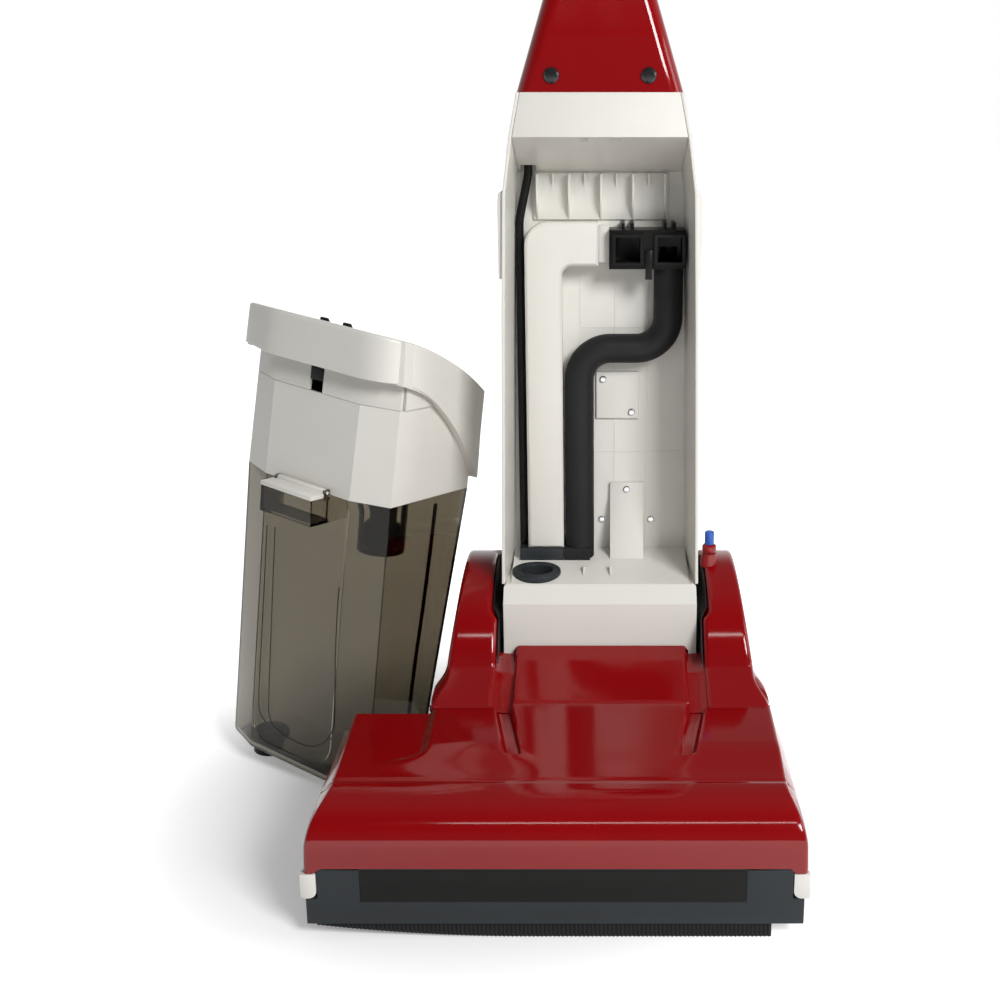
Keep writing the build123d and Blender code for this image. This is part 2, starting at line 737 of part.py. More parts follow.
with BuildPart() as bumper:
    extrude(
        outline(
            facing(HEAD, BUMPER_THICK),
            (BUMPER_LEFT, BUMPER_LOW),
            (BUMPER_RIGHT, BUMPER_LOW),
            (BUMPER_RIGHT, LATCH_LOW - RUN_GAP),
            (BUMPER_RIGHT - NOTCH, LATCH_LOW - RUN_GAP),
            (BUMPER_RIGHT - NOTCH, BUMPER_TOP),
            (BUMPER_LEFT + NOTCH, BUMPER_TOP),
            (BUMPER_LEFT + NOTCH, LATCH_LOW - RUN_GAP),
            (BUMPER_LEFT, LATCH_LOW - RUN_GAP),
        ),
        amount=BUMPER_THICK,
    )
    slab(
        HEAD,
        (STRIP_X - SEAT_GAP, STRIP_X + STRIP_WIDTH + SEAT_GAP),
        (-WALL, STRIP_THICK - STRIP_PROUD),
        (STRIP_TOP - STRIP_HEIGHT - SEAT_GAP, STRIP_TOP + SEAT_GAP),
        Mode.SUBTRACT,
    )
    slab(
        HEAD,
        (LIP_X - SEAT_GAP, LIP_X + LIP_LENGTH + SEAT_GAP),
        (LIP_SETBACK - SEAT_GAP, LIP_SETBACK + LIP_THICK),
        (BUMPER_LOW - WALL, BUMPER_LOW + LIP_GRIP),
        Mode.SUBTRACT,
    )
save(bumper, "bumper")

with BuildPart() as bumper_strip:
    slab(
        HEAD,
        (STRIP_X, STRIP_X + STRIP_WIDTH),
        (-STRIP_PROUD, STRIP_THICK - STRIP_PROUD),
        (STRIP_TOP - STRIP_HEIGHT, STRIP_TOP),
    )
save(bumper_strip, "bumper_strip")


# Ribbed rubber lip: upright ribs along its front face, its left end curling up
with BuildPart() as front_lip:
    rib_count = int(LIP_LENGTH / RIB_PITCH)
    rib_step = LIP_LENGTH / rib_count
    ribs = []
    for rib in range(rib_count):
        ribs.append((LIP_X + rib * rib_step, LIP_SETBACK + RIB_DEPTH))
        ribs.append((LIP_X + (rib + 0.5) * rib_step, LIP_SETBACK))
    ribs.append((LIP_X + LIP_LENGTH, LIP_SETBACK + RIB_DEPTH))
    lip_back = LIP_SETBACK + LIP_THICK
    extrude(
        outline(level(HEAD, 0), *ribs, (LIP_X + LIP_LENGTH, lip_back), (LIP_X, lip_back)),
        amount=BUMPER_LOW + LIP_GRIP,
    )
    with BuildSketch(facing(HEAD, lip_back + WALL)):
        with BuildLine():
            curl = SagittaArc((LIP_X, LIP_CURL), (LIP_X + LIP_CURL_LENGTH, 0), -LIP_CURL / 4)
            Polyline(curl @ 1, (LIP_X, 0), curl @ 0)
        make_face()
    extrude(amount=LIP_THICK + 2 * WALL, mode=Mode.SUBTRACT)
save(front_lip, "front_lip")


# Rear squeegee: holder under the platform and its blade
HOLDER_FRONT = TUNNEL_BACK + SHEET + WALL
HOLDER_LOW = PLATFORM_HEIGHT - HOLDER_DROP
BLADE_FRONT = HOLDER_FRONT + (HOLDER_DEPTH - BLADE_THICK) / 2

with BuildPart() as squeegee_holder:
    extrude(
        outline(
            side(HEAD, BRUSH_LEFT),
            (HOLDER_FRONT, PLATFORM_HEIGHT),
            (HOLDER_FRONT, HOLDER_LOW + HOLDER_DROP / 3),
            (HOLDER_FRONT + HOLDER_DEPTH / 4, HOLDER_LOW),
            (HOLDER_FRONT + HOLDER_DEPTH * 3 / 4, HOLDER_LOW),
            (HOLDER_FRONT + HOLDER_DEPTH, HOLDER_LOW + HOLDER_DROP / 3),
            (HOLDER_FRONT + HOLDER_DEPTH, PLATFORM_HEIGHT),
        ),
        amount=BRUSH_LENGTH,
    )
    slab(
        HEAD,
        (BRUSH_LEFT - WALL, BRUSH_RIGHT + WALL),
        (BLADE_FRONT, BLADE_FRONT + BLADE_THICK),
        (HOLDER_LOW - WALL, HOLDER_LOW + BLADE_GRIP),
        Mode.SUBTRACT,
    )
save(squeegee_holder, "squeegee_holder")

with BuildPart() as squeegee_blade:
    blade_y = (BLADE_FRONT, BLADE_FRONT + BLADE_THICK)
    slab(HEAD, (BRUSH_LEFT, BRUSH_RIGHT), blade_y, (0, HOLDER_LOW + BLADE_GRIP))
save(squeegee_blade, "squeegee_blade")


# Roller brush: core with shaft ends, rows of bristles and the driven pulley
BRUSH_AXIS = (BRUSH_Y, BRUSH_Z)

with BuildPart() as bristles:
    with BuildSketch(side(HEAD, BRUSH_LEFT)):
        with Locations(BRUSH_AXIS):
            Circle(BRUSH_RADIUS - BRISTLE_ROW_DEPTH)
            with PolarLocations(0, BRISTLE_ROWS):
                Rectangle(
                    BRUSH_RADIUS,
                    BRUSH_CORE_RADIUS / 2,
                    align=(Align.MIN, Align.CENTER),
                )
        with Locations(BRUSH_AXIS):
            Circle(BRUSH_RADIUS, mode=Mode.INTERSECT)
            Circle(BRUSH_CORE_RADIUS, mode=Mode.SUBTRACT)
    extrude(amount=BRUSH_LENGTH)
save(bristles, "bristles")


def pulley(x, axis, radius):
    """Flanged belt pulley."""
    bar(HEAD, (x, x + BELT_WIDTH), axis, radius)
    bar(HEAD, (x - BELT_THICK / 2, x), axis, radius + BELT_THICK)


with BuildPart() as brush_core:
    bar(HEAD, (BRUSH_LEFT, BRUSH_RIGHT), BRUSH_AXIS, BRUSH_CORE_RADIUS)
    bar(HEAD, (CHASSIS_LEFT, BELT_X + BELT_WIDTH), BRUSH_AXIS, BRUSH_SHAFT_RADIUS)
    pulley(BELT_X, BRUSH_AXIS, BRUSH_PULLEY_RADIUS)
save(brush_core, "brush_core")


# Brush motor on the platform, its pulley and the belt
MOTOR_AXIS = (MOTOR_Y, MOTOR_Z)

with BuildPart() as brush_motor:
    bar(HEAD, (MOTOR_LEFT, MOTOR_RIGHT), MOTOR_AXIS, MOTOR_RADIUS)
    slab(
        HEAD,
        (MOTOR_LEFT + MOTOR_RADIUS, MOTOR_RIGHT - MOTOR_RADIUS),
        (MOTOR_Y - MOTOR_RADIUS + WALL, MOTOR_Y + MOTOR_RADIUS - WALL),
        (PLATFORM_TOP, MOTOR_Z),
    )
    bar(
        HEAD,
        (MOTOR_RIGHT - MOTOR_RADIUS, MOTOR_RIGHT + WALL),
        MOTOR_AXIS,
        MOTOR_SHAFT_RADIUS + SHAFT_FIT,
        Mode.SUBTRACT,
    )
save(brush_motor, "brush_motor")

with BuildPart() as motor_pulley:
    pulley(BELT_X, MOTOR_AXIS, MOTOR_PULLEY_RADIUS)
    bar(HEAD, (MOTOR_RIGHT - MOTOR_RADIUS / 2, BELT_X + BELT_WIDTH), MOTOR_AXIS, MOTOR_SHAFT_RADIUS)
save(motor_pulley, "motor_pulley")


def belt_loop(rise):
    """Face inside a loop that runs round both pulleys at a height above their rims."""
    with BuildSketch(side(HEAD, BELT_X + SEAT_GAP)) as loop:
        with Locations(BRUSH_AXIS):
            Circle(BRUSH_PULLEY_RADIUS + rise)
        with Locations(MOTOR_AXIS):
            Circle(MOTOR_PULLEY_RADIUS + rise)
        make_hull()
    return loop.sketch


with BuildPart() as drive_belt:
    extrude(belt_loop(RUN_GAP + BELT_THICK), amount=BELT_WIDTH - 2 * SEAT_GAP)
    extrude(belt_loop(RUN_GAP), amount=BELT_WIDTH - 2 * SEAT_GAP, mode=Mode.SUBTRACT)
save(drive_belt, "drive_belt")


# Pins of the upright's pivot, wheel axles and wheels
BOSS_END = BRACKET_INNER - RUN_GAP
WHEEL_INNER = BRACKET_INNER + BRACKET_THICK + WHEEL_SIDE_GAP
WHEEL_OUTER = WHEEL_INNER + WHEEL_WIDTH
WHEEL_AXIS = (WHEEL_Y, WHEEL_RADIUS)

with BuildPart() as pivot_pins:
    bar(HEAD, (BLOCK_HALF - PIN_REACH, BRACKET_INNER + BRACKET_THICK), (PIVOT_Y, PIVOT_Z), PIN_RADIUS)
    mirror(about=side(HEAD, 0))
save(pivot_pins, "pivot_pins")

with BuildPart() as wheel_axles:
    bar(HEAD, (BRACKET_INNER, WHEEL_OUTER + WALL), WHEEL_AXIS, AXLE_RADIUS)
    bar(HEAD, (WHEEL_OUTER + RUN_GAP, WHEEL_OUTER + WALL), WHEEL_AXIS, 2 * AXLE_RADIUS)
    mirror(about=side(HEAD, 0))
save(wheel_axles, "wheel_axles")

with BuildPart() as right_wheel:
    bar(HEAD, (WHEEL_INNER, WHEEL_OUTER), WHEEL_AXIS, WHEEL_RADIUS)
    chamfer(right_wheel.edges(), TYRE_THICK / 4)
    rim_radius = WHEEL_RADIUS - TYRE_THICK
    bar(HEAD, (WHEEL_OUTER - WHEEL_WIDTH / 3, WHEEL_OUTER), WHEEL_AXIS, rim_radius, Mode.SUBTRACT)
    bar(HEAD, (WHEEL_INNER - WHEEL_SIDE_GAP + RUN_GAP, WHEEL_OUTER), WHEEL_AXIS, 2 * AXLE_RADIUS)
    bar(HEAD, (BRACKET_INNER, WHEEL_OUTER + WALL), WHEEL_AXIS, AXLE_RADIUS + SHAFT_FIT, Mode.SUBTRACT)
save(right_wheel, "right_wheel")

with BuildPart() as left_wheel:
    mirror(right_wheel.part, about=side(HEAD, 0))
save(left_wheel, "left_wheel")


# End latches that swing out on pins, with a tab in front of each bumper end
with BuildPart() as left_latch:
    latch_z = (LATCH_LOW, LATCH_LOW + LATCH_HEIGHT)
    slab(HEAD, (HEAD_LEFT, HEAD_LEFT + LATCH_TAB), (0, BUMPER_THICK / 2), latch_z)
    tab_corner = left_latch.edges().filter_by(Axis.Y).sort_by(lambda e: e.center().Z - e.center().X)[0]
    fillet(tab_corner, LATCH_TAB / 2)
    slab(
        HEAD,
        (HEAD_LEFT, HEAD_LEFT + LATCH_THICK),
        (0, LATCH_PIN_Y),
        (LATCH_LOW + LATCH_THICK, LATCH_LOW + LATCH_HEIGHT - LATCH_THICK),
    )
    latch_pin = (HEAD_LEFT + LATCH_EYE_RADIUS, LATCH_PIN_Y)
    post(HEAD, latch_pin, LATCH_EYE_RADIUS, latch_z)
    post(HEAD, latch_pin, LATCH_PIN_RADIUS + SHAFT_FIT, (0, BUMPER_TOP), Mode.SUBTRACT)
save(left_latch, "left_latch")

with BuildPart() as right_latch:
    mirror(left_latch.part, about=side(HEAD, HEAD_SHIFT))
save(right_latch, "right_latch")


# Brush adjuster on the right pivot cover: collar and knob
with BuildPart() as adjuster_collar:
    post(HEAD, (KNOB_X, KNOB_Y), COLLAR_RADIUS, (LOBE_TOP, LOBE_TOP + COLLAR_HEIGHT))
    chamfer(adjuster_collar.faces().sort_by(Axis.Z)[-1].edges(), COLLAR_RADIUS / 5)
    post(
        HEAD,
        (KNOB_X, KNOB_Y),
        KNOB_RADIUS / 2 + SHAFT_FIT,
        (LOBE_TOP - WALL, LOBE_TOP + COLLAR_HEIGHT + WALL),
        Mode.SUBTRACT,
    )
save(adjuster_collar, "adjuster_collar")

with BuildPart() as adjuster_knob:
    knob_low = LOBE_TOP + COLLAR_HEIGHT + RUN_GAP
    post(HEAD, (KNOB_X, KNOB_Y), KNOB_RADIUS, (knob_low, knob_low + KNOB_HEIGHT))
    chamfer(adjuster_knob.faces().sort_by(Axis.Z)[-1].edges(), KNOB_RADIUS / 5)
    post(HEAD, (KNOB_X, KNOB_Y), KNOB_RADIUS / 2, (LOBE_TOP, knob_low))
save(adjuster_knob, "adjuster_knob")


# Lower block of the upright: a box on a drum that turns on the pivot pins
DRUM_CAVITY = VAC_RADIUS + RUN_GAP
CHAMBER_HALF = VAC_HALF + 2 * WALL
CHAMBER_TOP = BLOCK_TOP - 2.5 * WALL
REAR_FACE = SPINE_BACK + REAR_COVER_DEPTH
FLOOR_HALF = SPINE_LOW_HALF - WALL - SEAT_GAP - BAY_DEPTH * BAY_LEAN
FLOOR_SLOPE = FLOOR_RISE / BAY_DEPTH


def bay_floor(depth):
    """Height of the bay's sloping floor at a depth."""
    return BLOCK_TOP + (depth - BAY_FRONT) * FLOOR_SLOPE


with BuildPart() as lower_block:
    extrude(
        outline(
            side(HEAD, -BLOCK_HALF),
            (BLOCK_FRONT, BLOCK_SKIRT),
            (BLOCK_FRONT, BLOCK_TOP - BLOCK_BEVEL),
            (BLOCK_TOP_FRONT, BLOCK_TOP),
            (REAR_FACE, BLOCK_TOP),
            (PIVOT_Y + 0.74 * DRUM_RADIUS, PIVOT_Z + 0.67 * DRUM_RADIUS),
            (PIVOT_Y, PIVOT_Z),
            (PIVOT_Y - 0.78 * DRUM_RADIUS, PIVOT_Z + 0.62 * DRUM_RADIUS),
        ),
        amount=2 * BLOCK_HALF,
    )
    fillet(lower_block.edges().filter_by(Axis.Y).filter_by(lambda e: e.center().Z > BLOCK_TOP - 1), WALL)
    bar(HEAD, both(BLOCK_HALF), (PIVOT_Y, PIVOT_Z), DRUM_RADIUS)
    bar(HEAD, both(BOSS_END), (PIVOT_Y, PIVOT_Z), 2 * PIN_RADIUS)
    bar(HEAD, both(CHAMBER_HALF), (PIVOT_Y, PIVOT_Z), DRUM_CAVITY, Mode.SUBTRACT)
    chamber_z = (BLOCK_SKIRT - WALL, CHAMBER_TOP)
    slab(HEAD, both(CHAMBER_HALF), (BLOCK_TOP_FRONT, SPINE_BACK), chamber_z, Mode.SUBTRACT)
    extrude(
        outline(
            side(HEAD, -FLOOR_HALF),
            (BAY_FRONT, BLOCK_TOP - WALL / 2),
            (BAY_FRONT, BLOCK_TOP),
            (BAY_BACK - SEAT_GAP, bay_floor(BAY_BACK - SEAT_GAP)),
            (BAY_BACK - SEAT_GAP, BLOCK_TOP - WALL / 2),
        ),
        amount=2 * FLOOR_HALF,
    )
    bar(HEAD, both(BOSS_END + WALL), (PIVOT_Y, PIVOT_Z), PIN_RADIUS + SHAFT_FIT, Mode.SUBTRACT)
    for vent in range(-2, 3):
        vent_x = vent * VAC_RADIUS / 3
        slab(
            HEAD,
            (vent_x - WALL, vent_x + WALL),
            (PIVOT_Y, PIVOT_Y + 2 * DRUM_RADIUS),
            (PIVOT_Z - VAC_RADIUS / 3, PIVOT_Z + VAC_RADIUS / 3),
            Mode.SUBTRACT,
        )
    socket_low = BLOCK_TOP - SOCKET_DEPTH - RUN_GAP
    for fin_side in (-1, 1):
        fin_front = BLOCK_TOP_FRONT + FLOOR_FIN_SETBACK
        fin_back = fin_front + FLOOR_FIN_LENGTH
        extrude(
            outline(
                side(HEAD, FLOOR_FIN_X + fin_side * FLOOR_FIN_PITCH / 2),
                (fin_front, BLOCK_TOP),
                (fin_back, BLOCK_TOP),
                (fin_back - FIN_THICK, BLOCK_TOP + FLOOR_FIN_HEIGHT),
                (fin_back - 4 * FIN_THICK, BLOCK_TOP + FLOOR_FIN_HEIGHT),
            ),
            amount=FIN_THICK,
        )
    socket_hole = (socket_low, FLOOR_BACK + WALL)
    post(HEAD, (SOCKET_X, SOCKET_Y), SOCKET_RADIUS + SEAT_GAP, socket_hole, Mode.SUBTRACT)
    ring_seat = (BLOCK_TOP, FLOOR_BACK + WALL)
    ring_radius = SOCKET_RADIUS + SOCKET_FLANGE + SEAT_GAP
    post(HEAD, (SOCKET_X, SOCKET_Y), ring_radius, ring_seat, Mode.SUBTRACT)
    hose_hole = (CHAMBER_TOP - WALL, FLOOR_BACK + WALL)
    post(HEAD, (HOSE_LOW_X, HOSE_Y), HOSE_RADIUS + SEAT_GAP, hose_hole, Mode.SUBTRACT)
save(lower_block, "lower_block")


# Spine channel: a tapering trough whose bay is open to the front
def half_width(height):
    """Half width of the spine's front rim at a height."""
    stations = [
        (BLOCK_TOP, SPINE_LOW_HALF),
        (SPINE_MID_Z, SPINE_MID_HALF),
        (SPINE_EAR_Z, SPINE_EAR_HALF),
        (BAND_LOW, SPINE_BAND_HALF),
        (BAND_TOP, SPINE_TOP_HALF),
    ]
    for (z0, w0), (z1, w1) in zip(stations, stations[1:]):
        if height <= z1:
            break
    return w0 + (w1 - w0) * (height - z0) / (z1 - z0)


def spine_section(depth, heights, inset, lean):
    """Front outline of the spine at a depth, inset from the rim and narrowing towards the back."""
    cut = inset + (depth - BAY_FRONT) * lean
    right = [(half_width(height) - cut, height) for height in heights]
    left = [(-across, height) for across, height in reversed(right)]
    return outline(facing(HEAD, depth), *right, *left)


SPINE_STATIONS = (BLOCK_TOP, SPINE_MID_Z, SPINE_EAR_Z, BAND_LOW, BAND_TOP)
BAND_STATIONS = (CEILING_LOW, BAND_LOW, BAND_TOP)

with BuildPart() as spine_channel:
    loft(
        [
            spine_section(BAY_FRONT, SPINE_STATIONS, 0, BAY_LEAN),
            spine_section(SPINE_BACK, SPINE_STATIONS, 0, BAY_LEAN),
        ],
        ruled=True,
    )
    for hand in (-1, 1):
        ear = half_width(SPINE_EAR_Z) + EAR_THICK
        extrude(
            outline(
                facing(HEAD, BAY_FRONT + EAR_DEPTH),
                (hand * (half_width(SPINE_EAR_Z) - WALL), SPINE_EAR_Z + EAR_THICK),
                (hand * (ear - 1), SPINE_EAR_Z),
                (hand * ear, SPINE_EAR_Z - 2 * EAR_THICK),
                (hand * ear, EAR_LOW),
                (hand * (half_width(EAR_LOW) - WALL), EAR_LOW),
            ),
            amount=EAR_DEPTH - WALL,
        )
    loft(
        [
            spine_section(BAY_FRONT, SPINE_STATIONS, WALL, BAY_LEAN),
            spine_section(BAY_BACK, SPINE_STATIONS, WALL, BAY_LEAN),
        ],
        ruled=True,
        mode=Mode.SUBTRACT,
    )
save(spine_channel, "spine_channel")

with BuildPart() as top_band:
    loft(
        [
            spine_section(BAY_FRONT, BAND_STATIONS, WALL + SEAT_GAP, BAY_LEAN),
            spine_section(BAY_BACK, BAND_STATIONS, WALL + SEAT_GAP, BAY_LEAN),
        ],
        ruled=True,
    )
    extrude(
        outline(
            side(HEAD, -SPINE_LOW_HALF),
            (BAY_FRONT - WALL, CEILING_LOW - WALL),
            (BAY_FRONT - WALL, BAND_LOW),
            (BAY_FRONT, BAND_LOW),
            (BAY_BACK, CEILING_LOW),
            (BAY_BACK + WALL, CEILING_LOW - WALL),
        ),
        amount=2 * SPINE_LOW_HALF,
        mode=Mode.SUBTRACT,
    )
    band_hollow = SPINE_TOP_HALF - 4 * WALL
    slab(
        HEAD,
        both(band_hollow),
        (BAY_FRONT + 3 * WALL, BAY_BACK - 3 * WALL),
        (BAND_LOW + 3 * WALL, BAND_TOP + WALL),
        Mode.SUBTRACT,
    )
    for hook_side in (-1, 1):
        hook_x = LATCH_SHIFT + hook_side * HOOK_PITCH / 2
        slab(
            HEAD,
            (hook_x - HOOK_WIDTH / 2, hook_x + HOOK_WIDTH / 2),
            (BAY_FRONT + HOOK_THICK / 2, BAY_FRONT + HOOK_THICK / 2 + 2 * HOOK_BARB),
            (BAND_LOW - 3 * WALL, BAND_LOW + HOOK_SLOT_DEPTH),
            Mode.SUBTRACT,
        )
    slab(
        HEAD,
        (CABLE_TOP_X - CABLE_RADIUS - WALL, CABLE_TOP_X + CABLE_RADIUS + WALL),
        (CABLE_Y - CABLE_RADIUS - WALL, BAY_BACK + WALL),
        (CEILING_LOW - WALL, BAND_TOP + WALL),
        Mode.SUBTRACT,
    )
save(top_band, "top_band")


# Rib panel under the sloping ceiling: tall ribs with short ones between them
FIN_TOP = CEILING_LOW - 1.0
FIN_LOW = FIN_TOP - FIN_HEIGHT
FIN_BACK = BAY_BACK - SEAT_GAP

with BuildPart() as rib_panel:
    fin_left = FIN_SHIFT - FIN_PITCH * (FIN_COUNT - 1) / 2
    fin_right = FIN_SHIFT + FIN_PITCH * (FIN_COUNT - 1) / 2
    slab(
        HEAD,
        (fin_left - 2 * FIN_THICK, fin_right + 2 * FIN_THICK),
        (FIN_BACK - FIN_THICK, FIN_BACK),
        (FIN_LOW, FIN_TOP),
    )
    for fin in range(2 * FIN_COUNT - 1):
        short = fin % 2
        drop = FIN_HEIGHT / 3 if short else FIN_HEIGHT
        reach = FIN_DEPTH / 2 if short else FIN_DEPTH
        extrude(
            outline(
                side(HEAD, fin_left + fin * FIN_PITCH / 2 - FIN_THICK / 2),
                (FIN_BACK - reach, FIN_TOP),
                (FIN_BACK - FIN_THICK, FIN_TOP),
                (FIN_BACK - FIN_THICK, FIN_TOP - drop),
                (FIN_BACK - reach, FIN_TOP - drop + 1.5 * reach),
            ),
            amount=FIN_THICK,
        )
save(rib_panel, "rib_panel")


# Rear cover over the back of the spine, with the fixed cord hook moulded on it
REAR_LEAN = tan(radians(REAR_COVER_TAPER))
REAR_LOW = BLOCK_TOP + 10.0
REAR_TOP = BAND_TOP - 12.0
REAR_STATIONS = (REAR_LOW, SPINE_MID_Z, SPINE_EAR_Z, BAND_LOW, REAR_TOP)
REAR_INSET = 8.0 - (SPINE_BACK - BAY_FRONT) * (REAR_LEAN - BAY_LEAN)


def cord_hook(height, way):
    """Peg with an arm that keeps the wound cord from slipping off, its arm up or down."""
    stud(HEAD, (0, height), HOOK_PEG_RADIUS, (REAR_FACE + RUN_GAP, REAR_FACE + HOOK_REACH))
    arm = sorted((height - way * HOOK_PEG_RADIUS, height + way * HOOK_LENGTH))
    slab(
        HEAD,
        both(HOOK_PEG_RADIUS),
        (REAR_FACE + HOOK_REACH - HOOK_PEG_RADIUS, REAR_FACE + HOOK_REACH),
        arm,
    )


with BuildPart() as rear_cover:
    loft(
        [
            spine_section(SPINE_BACK, REAR_STATIONS, REAR_INSET, REAR_LEAN),
            spine_section(REAR_FACE, REAR_STATIONS, REAR_INSET, REAR_LEAN),
        ],
        ruled=True,
    )
    chamfer(rear_cover.faces().sort_by(Axis.Y)[-1].edges(), WALL)
    inner_stations = (REAR_LOW + WALL, SPINE_MID_Z, SPINE_EAR_Z, BAND_LOW, REAR_TOP - WALL)
    loft(
        [
            spine_section(SPINE_BACK, inner_stations, REAR_INSET + 1.5 * WALL, REAR_LEAN),
            spine_section(REAR_FACE - WALL, inner_stations, REAR_INSET + 1.5 * WALL, REAR_LEAN),
        ],
        ruled=True,
        mode=Mode.SUBTRACT,
    )
    cord_hook(HOOK_LOW_Z, -1)
    stud(HEAD, (0, HOOK_LOW_Z), HOOK_PEG_RADIUS, (REAR_FACE - WALL, REAR_FACE + WALL))
    pivot_hole = HOOK_PEG_RADIUS / 2 + SHAFT_FIT
    stud(HEAD, (0, HOOK_HIGH_Z), HOOK_PEG_RADIUS, (REAR_FACE - 3 * WALL, REAR_FACE))
    stud(HEAD, (0, HOOK_HIGH_Z), pivot_hole, (REAR_FACE - 2 * WALL, REAR_FACE + WALL), Mode.SUBTRACT)
    gland_hole = GLAND_RADIUS * 0.7 + SEAT_GAP
    gland_place = (0, REAR_LOW + 3 * GLAND_RADIUS)
    stud(HEAD, gland_place, gland_hole, (SPINE_BACK, REAR_FACE + WALL), Mode.SUBTRACT)
save(rear_cover, "rear_cover")

with BuildPart() as upper_cord_hook:
    cord_hook(HOOK_HIGH_Z, 1)
    stud(HEAD, (0, HOOK_HIGH_Z), HOOK_PEG_RADIUS / 2, (REAR_FACE - 2 * WALL, REAR_FACE + WALL))
save(upper_cord_hook, "upper_cord_hook")

with BuildPart() as cord_gland:
    gland = (0, REAR_LOW + 3 * GLAND_RADIUS)
    stud(HEAD, gland, GLAND_RADIUS * 0.7, (REAR_FACE - 2 * WALL, REAR_FACE + WALL))
    stud(HEAD, gland, GLAND_RADIUS, (REAR_FACE, REAR_FACE + 2 * WALL))
    stud(HEAD, gland, CORD_RADIUS, (SPINE_BACK, REAR_FACE + 3 * WALL), Mode.SUBTRACT)
save(cord_gland, "cord_gland")


# Air duct on the bay's back wall, its foot plate and the port manifold it feeds
DUCT_FRONT = BAY_BACK - SEAT_GAP - DUCT_DEPTH
DUCT_RIGHT = DUCT_LEFT + DUCT_WIDTH
DUCT_LOW = FOOT_TOP
MANIFOLD_LEFT = PORT_LEFT - PORT_SIZE / 2 - 2 * MANIFOLD_WALL
MANIFOLD_RIGHT = PORT_LEFT + PORT_PITCH + PORT_SIZE / 2 + MANIFOLD_WALL
MANIFOLD_FRONT = BAY_BACK - SEAT_GAP - MANIFOLD_DEPTH
MANIFOLD_LOW = PORT_Z - MANIFOLD_HEIGHT / 2
MANIFOLD_TOP = PORT_Z + MANIFOLD_HEIGHT / 2
DUCT_END = MANIFOLD_LEFT - DUCT_COLLAR


def duct_face(depth, inset):
    """L-shaped front of the duct, inset from its outside."""
    with BuildSketch(facing(HEAD, depth)) as face:
        with BuildLine():
            corner = FilletPolyline(
                (DUCT_LEFT + inset, DUCT_LOW),
                (DUCT_LEFT + inset, DUCT_TOP - inset),
                (DUCT_END, DUCT_TOP - inset),
                radius=DUCT_ROUND - inset,
            )
            inner_corner = FilletPolyline(
                (DUCT_END, DUCT_TOP - DUCT_LEG + inset),
                (DUCT_RIGHT - inset, DUCT_TOP - DUCT_LEG + inset),
                (DUCT_RIGHT - inset, DUCT_LOW),
                radius=DUCT_INNER_ROUND + inset,
            )
            Line(corner @ 1, inner_corner @ 0)
            Line(inner_corner @ 1, corner @ 0)
        make_face()
    return face.sketch


with BuildPart() as air_duct:
    extrude(duct_face(BAY_BACK - SEAT_GAP, 0), amount=DUCT_DEPTH)
    chamfer(air_duct.faces().sort_by(Axis.Y)[0].edges(), DUCT_WALL)
    slab(
        HEAD,
        (DUCT_END - DUCT_WALL, MANIFOLD_LEFT),
        (DUCT_FRONT + DUCT_COLLAR_STEP, BAY_BACK - SEAT_GAP),
        (DUCT_TOP - DUCT_LEG + DUCT_COLLAR_STEP, DUCT_TOP - DUCT_COLLAR_STEP),
    )
    duct_bore = duct_face(BAY_BACK - SEAT_GAP - DUCT_WALL, DUCT_WALL)
    extrude(duct_bore, amount=DUCT_DEPTH - 2 * DUCT_WALL, mode=Mode.SUBTRACT)
    collar_wall = DUCT_COLLAR_STEP + DUCT_WALL
    slab(
        HEAD,
        (DUCT_END - 2 * DUCT_WALL, MANIFOLD_LEFT + WALL),
        (DUCT_FRONT + collar_wall, BAY_BACK - SEAT_GAP - DUCT_WALL),
        (DUCT_TOP - DUCT_LEG + collar_wall, DUCT_TOP - collar_wall),
        Mode.SUBTRACT,
    )
save(air_duct, "air_duct")

def standing_block(left, right):
    """Block that stands on the bay's sloping floor against its back wall."""
    front = DUCT_FRONT - DUCT_WALL / 2
    extrude(
        outline(
            side(HEAD, left),
            (front, bay_floor(front)),
            (front, FOOT_TOP),
            (BAY_BACK - SEAT_GAP, FOOT_TOP),
            (BAY_BACK - SEAT_GAP, bay_floor(BAY_BACK - SEAT_GAP)),
        ),
        amount=right - left,
    )


with BuildPart() as foot_plate:
    standing_block(FOOT_LEFT, DUCT_RIGHT - SEAT_GAP)
    slab(
        HEAD,
        (DUCT_LEFT + 2 * DUCT_WALL, DUCT_RIGHT - 2 * DUCT_WALL),
        (DUCT_FRONT + 2 * DUCT_WALL, BAY_BACK - 2 * DUCT_WALL),
        (BLOCK_TOP - WALL, DUCT_LOW + WALL),
        Mode.SUBTRACT,
    )
    post(
        HEAD,
        (CABLE_LOW_X, CABLE_Y),
        CABLE_RADIUS + SEAT_GAP,
        (BLOCK_TOP - WALL, DUCT_LOW + WALL),
        Mode.SUBTRACT,
    )
save(foot_plate, "foot_plate")

